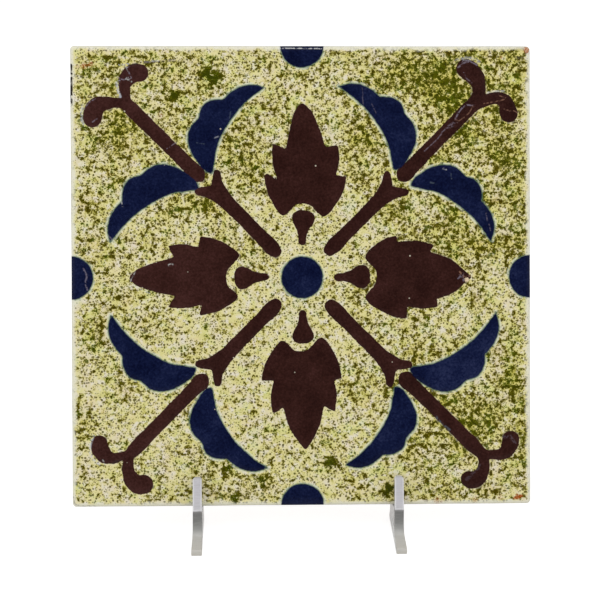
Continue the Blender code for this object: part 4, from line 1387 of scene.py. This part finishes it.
def lay_bake_map(mesh, made, points, first):
    """UV map for the finish: the face large, its four sides as strips below it, the back beside
    it. The sides' corners start at number first."""
    share = points[:, :2] / (2 * made.half + MAP_MARGIN) + 0.5
    corners = np.empty(len(mesh.loops), np.int32)
    mesh.loops.foreach_get("vertex_index", corners)
    laid = np.array(MAP_FACE_CORNER) + MAP_FACE_WIDTH * share[corners]
    side, step = np.divmod(np.arange(4 * made.cells), made.cells)
    for level in range(made.levels - 1):
        rows = [1 - row / (made.levels - 1) for row in (level, level + 1)]
        top, low = (MAP_EDGE + MAP_STRIP_PITCH * side + MAP_STRIP_HEIGHT * row for row in rows)
        left, right = (MAP_EDGE + MAP_FACE_WIDTH * (step + along) / made.cells for along in (0, 1))
        strip = np.array([(left, top), (left, low), (right, low), (right, top)])
        last = first + 4 * len(step)
        laid[first:last] = strip.transpose(2, 0, 1).reshape(-1, 2)
        first = last
    laid[first:] = np.array(MAP_BACK_CORNER) + MAP_BACK_WIDTH * share[corners[first:]]
    layer = mesh.uv_layers.new(name="OFBake")
    layer.data.foreach_set("uv", laid.astype(np.float32).ravel())


def acrylic_piece(name, skin, materials, node):
    """A piece of the easel. The second material is that of its two ends."""
    points, faces = skin
    piece = new_piece(name, points, faces, materials, node, "acrylic")
    at_end = np.arange(len(faces)) >= len(faces) - 2
    piece.data.polygons.foreach_set("material_index", at_end.astype(np.int32))


class MakeSidePlates(bpy.types.Operator):
    """Build the two clear side plates of the easel"""

    bl_idname = "object.make_easel_sides"
    bl_label = "Easel side plates"

    def execute(self, context):
        tile, easel = sizes(context)
        seat = Seat(tile, easel)
        outline = side_plate_outline(seat)
        lip_top = seat.at(-seat.lip_front / 2, FOOT["lip_rise"])
        from_top = np.linalg.norm(outline - lip_top, axis=1) / FOOT["lip_depth"]
        arris = easel.arris + LIP_ROUND * np.clip(LIP_ROUND_REACH - from_top, 0.0, 1.0)
        toward_toe = np.clip((seat.edge[0] - outline[:, 0]) / FOOT["toe_reach"], 0.0, 1.0)
        below_nose = np.clip(1.0 - outline[:, 1] / easel.seat_height, 0.0, 1.0)
        half = easel.plate / 2 + TOE_FLARE * toward_toe * np.sqrt(below_nose)
        materials = [sawn_material(easel), polished_material(easel)]
        for name, side in (("left", -1), ("right", 1)):
            skin = plate_skin(outline, easel.slip + side * easel.spacing / 2, half, arris)
            acrylic_piece(f"{name}_clear_plate", skin, materials, f"{name}_side_plate")
        return {"FINISHED"}


class MakeRods(bpy.types.Operator):
    """Build the two round rods that hold the side plates apart"""

    bl_idname = "object.make_easel_rods"
    bl_label = "Easel rods"

    def execute(self, context):
        tile, easel = sizes(context)
        seat = Seat(tile, easel)
        half = (easel.spacing - easel.plate) / 2 - ROD_GAP
        materials = [polished_material(easel), sawn_material(easel)]
        upper = seat.at(seat.spine_back, UPPER_ROD_RISE)
        down = (seat.leg_top[1] - LOWER_ROD_HEIGHT) / -seat.leg_down[1]
        lower = seat.leg_top + seat.leg_down * down + seat.leg_inward * FOOT["leg_width"] / 2
        for name, place in (("upper", upper), ("lower", lower)):
            skin = rod_skin(easel.slip, half, easel.rod_radius, place, easel.arris)
            acrylic_piece(f"{name}_clear_rod", skin, materials, f"{name}_rod")
        return {"FINISHED"}


# The stage

AIM_STEP = (-0.00058, 0.0, -0.00824)
CLIP_START = 0.01
LIGHTS = (
    ("left_softbox", (-1.05, -0.62, 0.62), 1.2, 4.9),
    ("right_softbox", (1.10, -0.66, 0.52), 1.2, 3.7),
    ("top_softbox", (0.10, -0.40, 1.30), 1.3, 5.1),
)
WORLD_LIGHT = 0.55
WORLD_RAYS = (("Is Glossy Ray", 0.02), ("Is Transmission Ray", 0.55), ("Is Camera Ray", 1.0))


class SetStage(bpy.types.Operator):
    """Set the floor, the lights and the camera"""

    bl_idname = "object.set_tile_stage"
    bl_label = "Stage"

    def execute(self, context):
        scene = context.scene
        tile = scene.tile_settings
        stage = scene.stage_settings
        target = Vector(face_middle(tile, scene.easel_settings)) + Vector(AIM_STEP)
        make_camera(scene, stage, target)
        make_floor(stage)
        make_lights(target)
        make_world(scene)
        scene.view_settings.view_transform = "Standard"
        return {"FINISHED"}


def make_camera(scene, stage, target):
    """Camera at the photograph's angle, turned a little about its own line of sight."""
    data = bpy.data.cameras.new("camera")
    data.lens = stage.lens
    data.clip_start = CLIP_START
    camera = bpy.data.objects.new("camera", data)
    turn = Euler((math.pi / 2 - stage.elevation, 0.0, stage.azimuth)).to_matrix()
    turn = turn @ Euler((0.0, 0.0, stage.roll)).to_matrix()
    place = target + turn.col[2] * stage.distance
    camera.matrix_world = Matrix.Translation(place) @ turn.to_4x4()
    scene.collection.objects.link(camera)
    scene.camera = camera


def make_floor(stage):
    """A plain pale floor."""
    half = stage.floor / 2
    mesh = bpy.data.meshes.new("floor")
    corners = [(x * half, y * half, 0.0) for x, y in ((-1, -1), (1, -1), (1, 1), (-1, 1))]
    mesh.from_pydata(corners, [], [(0, 1, 2, 3)])
    shading = Shading("pale_floor")
    mesh.materials.append(shading.finish(
        Base_Color=(0.5, 0.5, 0.5), Roughness=0.9, Specular_IOR_Level=0.0,
        Emission_Color=(1.0, 1.0, 1.0), Emission_Strength=shading.light_path("Is Camera Ray") * 0.50 + 0.30,
    ))
    floor = bpy.data.objects.new("floor", mesh)
    bpy.context.scene.collection.objects.link(floor)


def make_lights(target):
    """Soft boxes that look at the tile and that the camera doesn't see."""
    for name, place, size, power in LIGHTS:
        data = bpy.data.lights.new(name, "AREA")
        data.shape = "SQUARE"
        data.size = size
        data.energy = power
        light = bpy.data.objects.new(name, data)
        light.location = place
        light.rotation_euler = (target - Vector(place)).to_track_quat("-Z", "Y").to_euler()
        light.visible_camera = False
        bpy.context.scene.collection.objects.link(light)


def make_world(scene):
    """White to the camera, softer as light and through the acrylic, and dim in mirror reflections,
    so that dark glazes stay dark."""
    world = bpy.data.worlds.new("studio")
    shading = ShaderTree(world)
    strength = WORLD_LIGHT
    for ray, amount in WORLD_RAYS:
        strength = strength + shading.light_path(ray) * (amount - strength)
    background = shading.tree.nodes["Background"]
    shading.put(background.inputs["Strength"], strength)
    shading.put(background.inputs["Color"], (1.0, 1.0, 1.0))
    scene.world = world


# The panel and the add-on

class TilePanel(bpy.types.Panel):
    """Sizes, colours and pieces of the tile and its easel"""

    bl_idname = "VIEW3D_PT_glazed_tile"
    bl_label = "Glazed tile"
    bl_space_type = "VIEW_3D"
    bl_region_type = "UI"
    bl_category = "Tile"

    def draw(self, context):
        layout = self.layout
        for group in GROUPS:
            settings = getattr(context.scene, group)
            for key in settings.__annotations__:
                layout.prop(settings, key)
        for operator in OPERATORS:
            layout.operator(operator.bl_idname)


GROUPS = {"tile_settings": TileSettings, "easel_settings": EaselSettings, "stage_settings": StageSettings}
OPERATORS = (MakeTile, MakeSidePlates, MakeRods, SetStage)


def register():
    for group in GROUPS.values():
        bpy.utils.register_class(group)
    for made in (*OPERATORS, TilePanel):
        bpy.utils.register_class(made)
    for name, group in GROUPS.items():
        setattr(bpy.types.Scene, name, bpy.props.PointerProperty(type=group))


def unregister():
    for name in GROUPS:
        delattr(bpy.types.Scene, name)
    for made in (TilePanel, *reversed(OPERATORS), *GROUPS.values()):
        bpy.utils.unregister_class(made)


def main():
    """Build every piece and the stage."""
    register()
    bpy.ops.object.make_glazed_tile()
    bpy.ops.object.make_easel_sides()
    bpy.ops.object.make_easel_rods()
    bpy.ops.object.set_tile_stage()


if __name__ == "__main__":
    main()
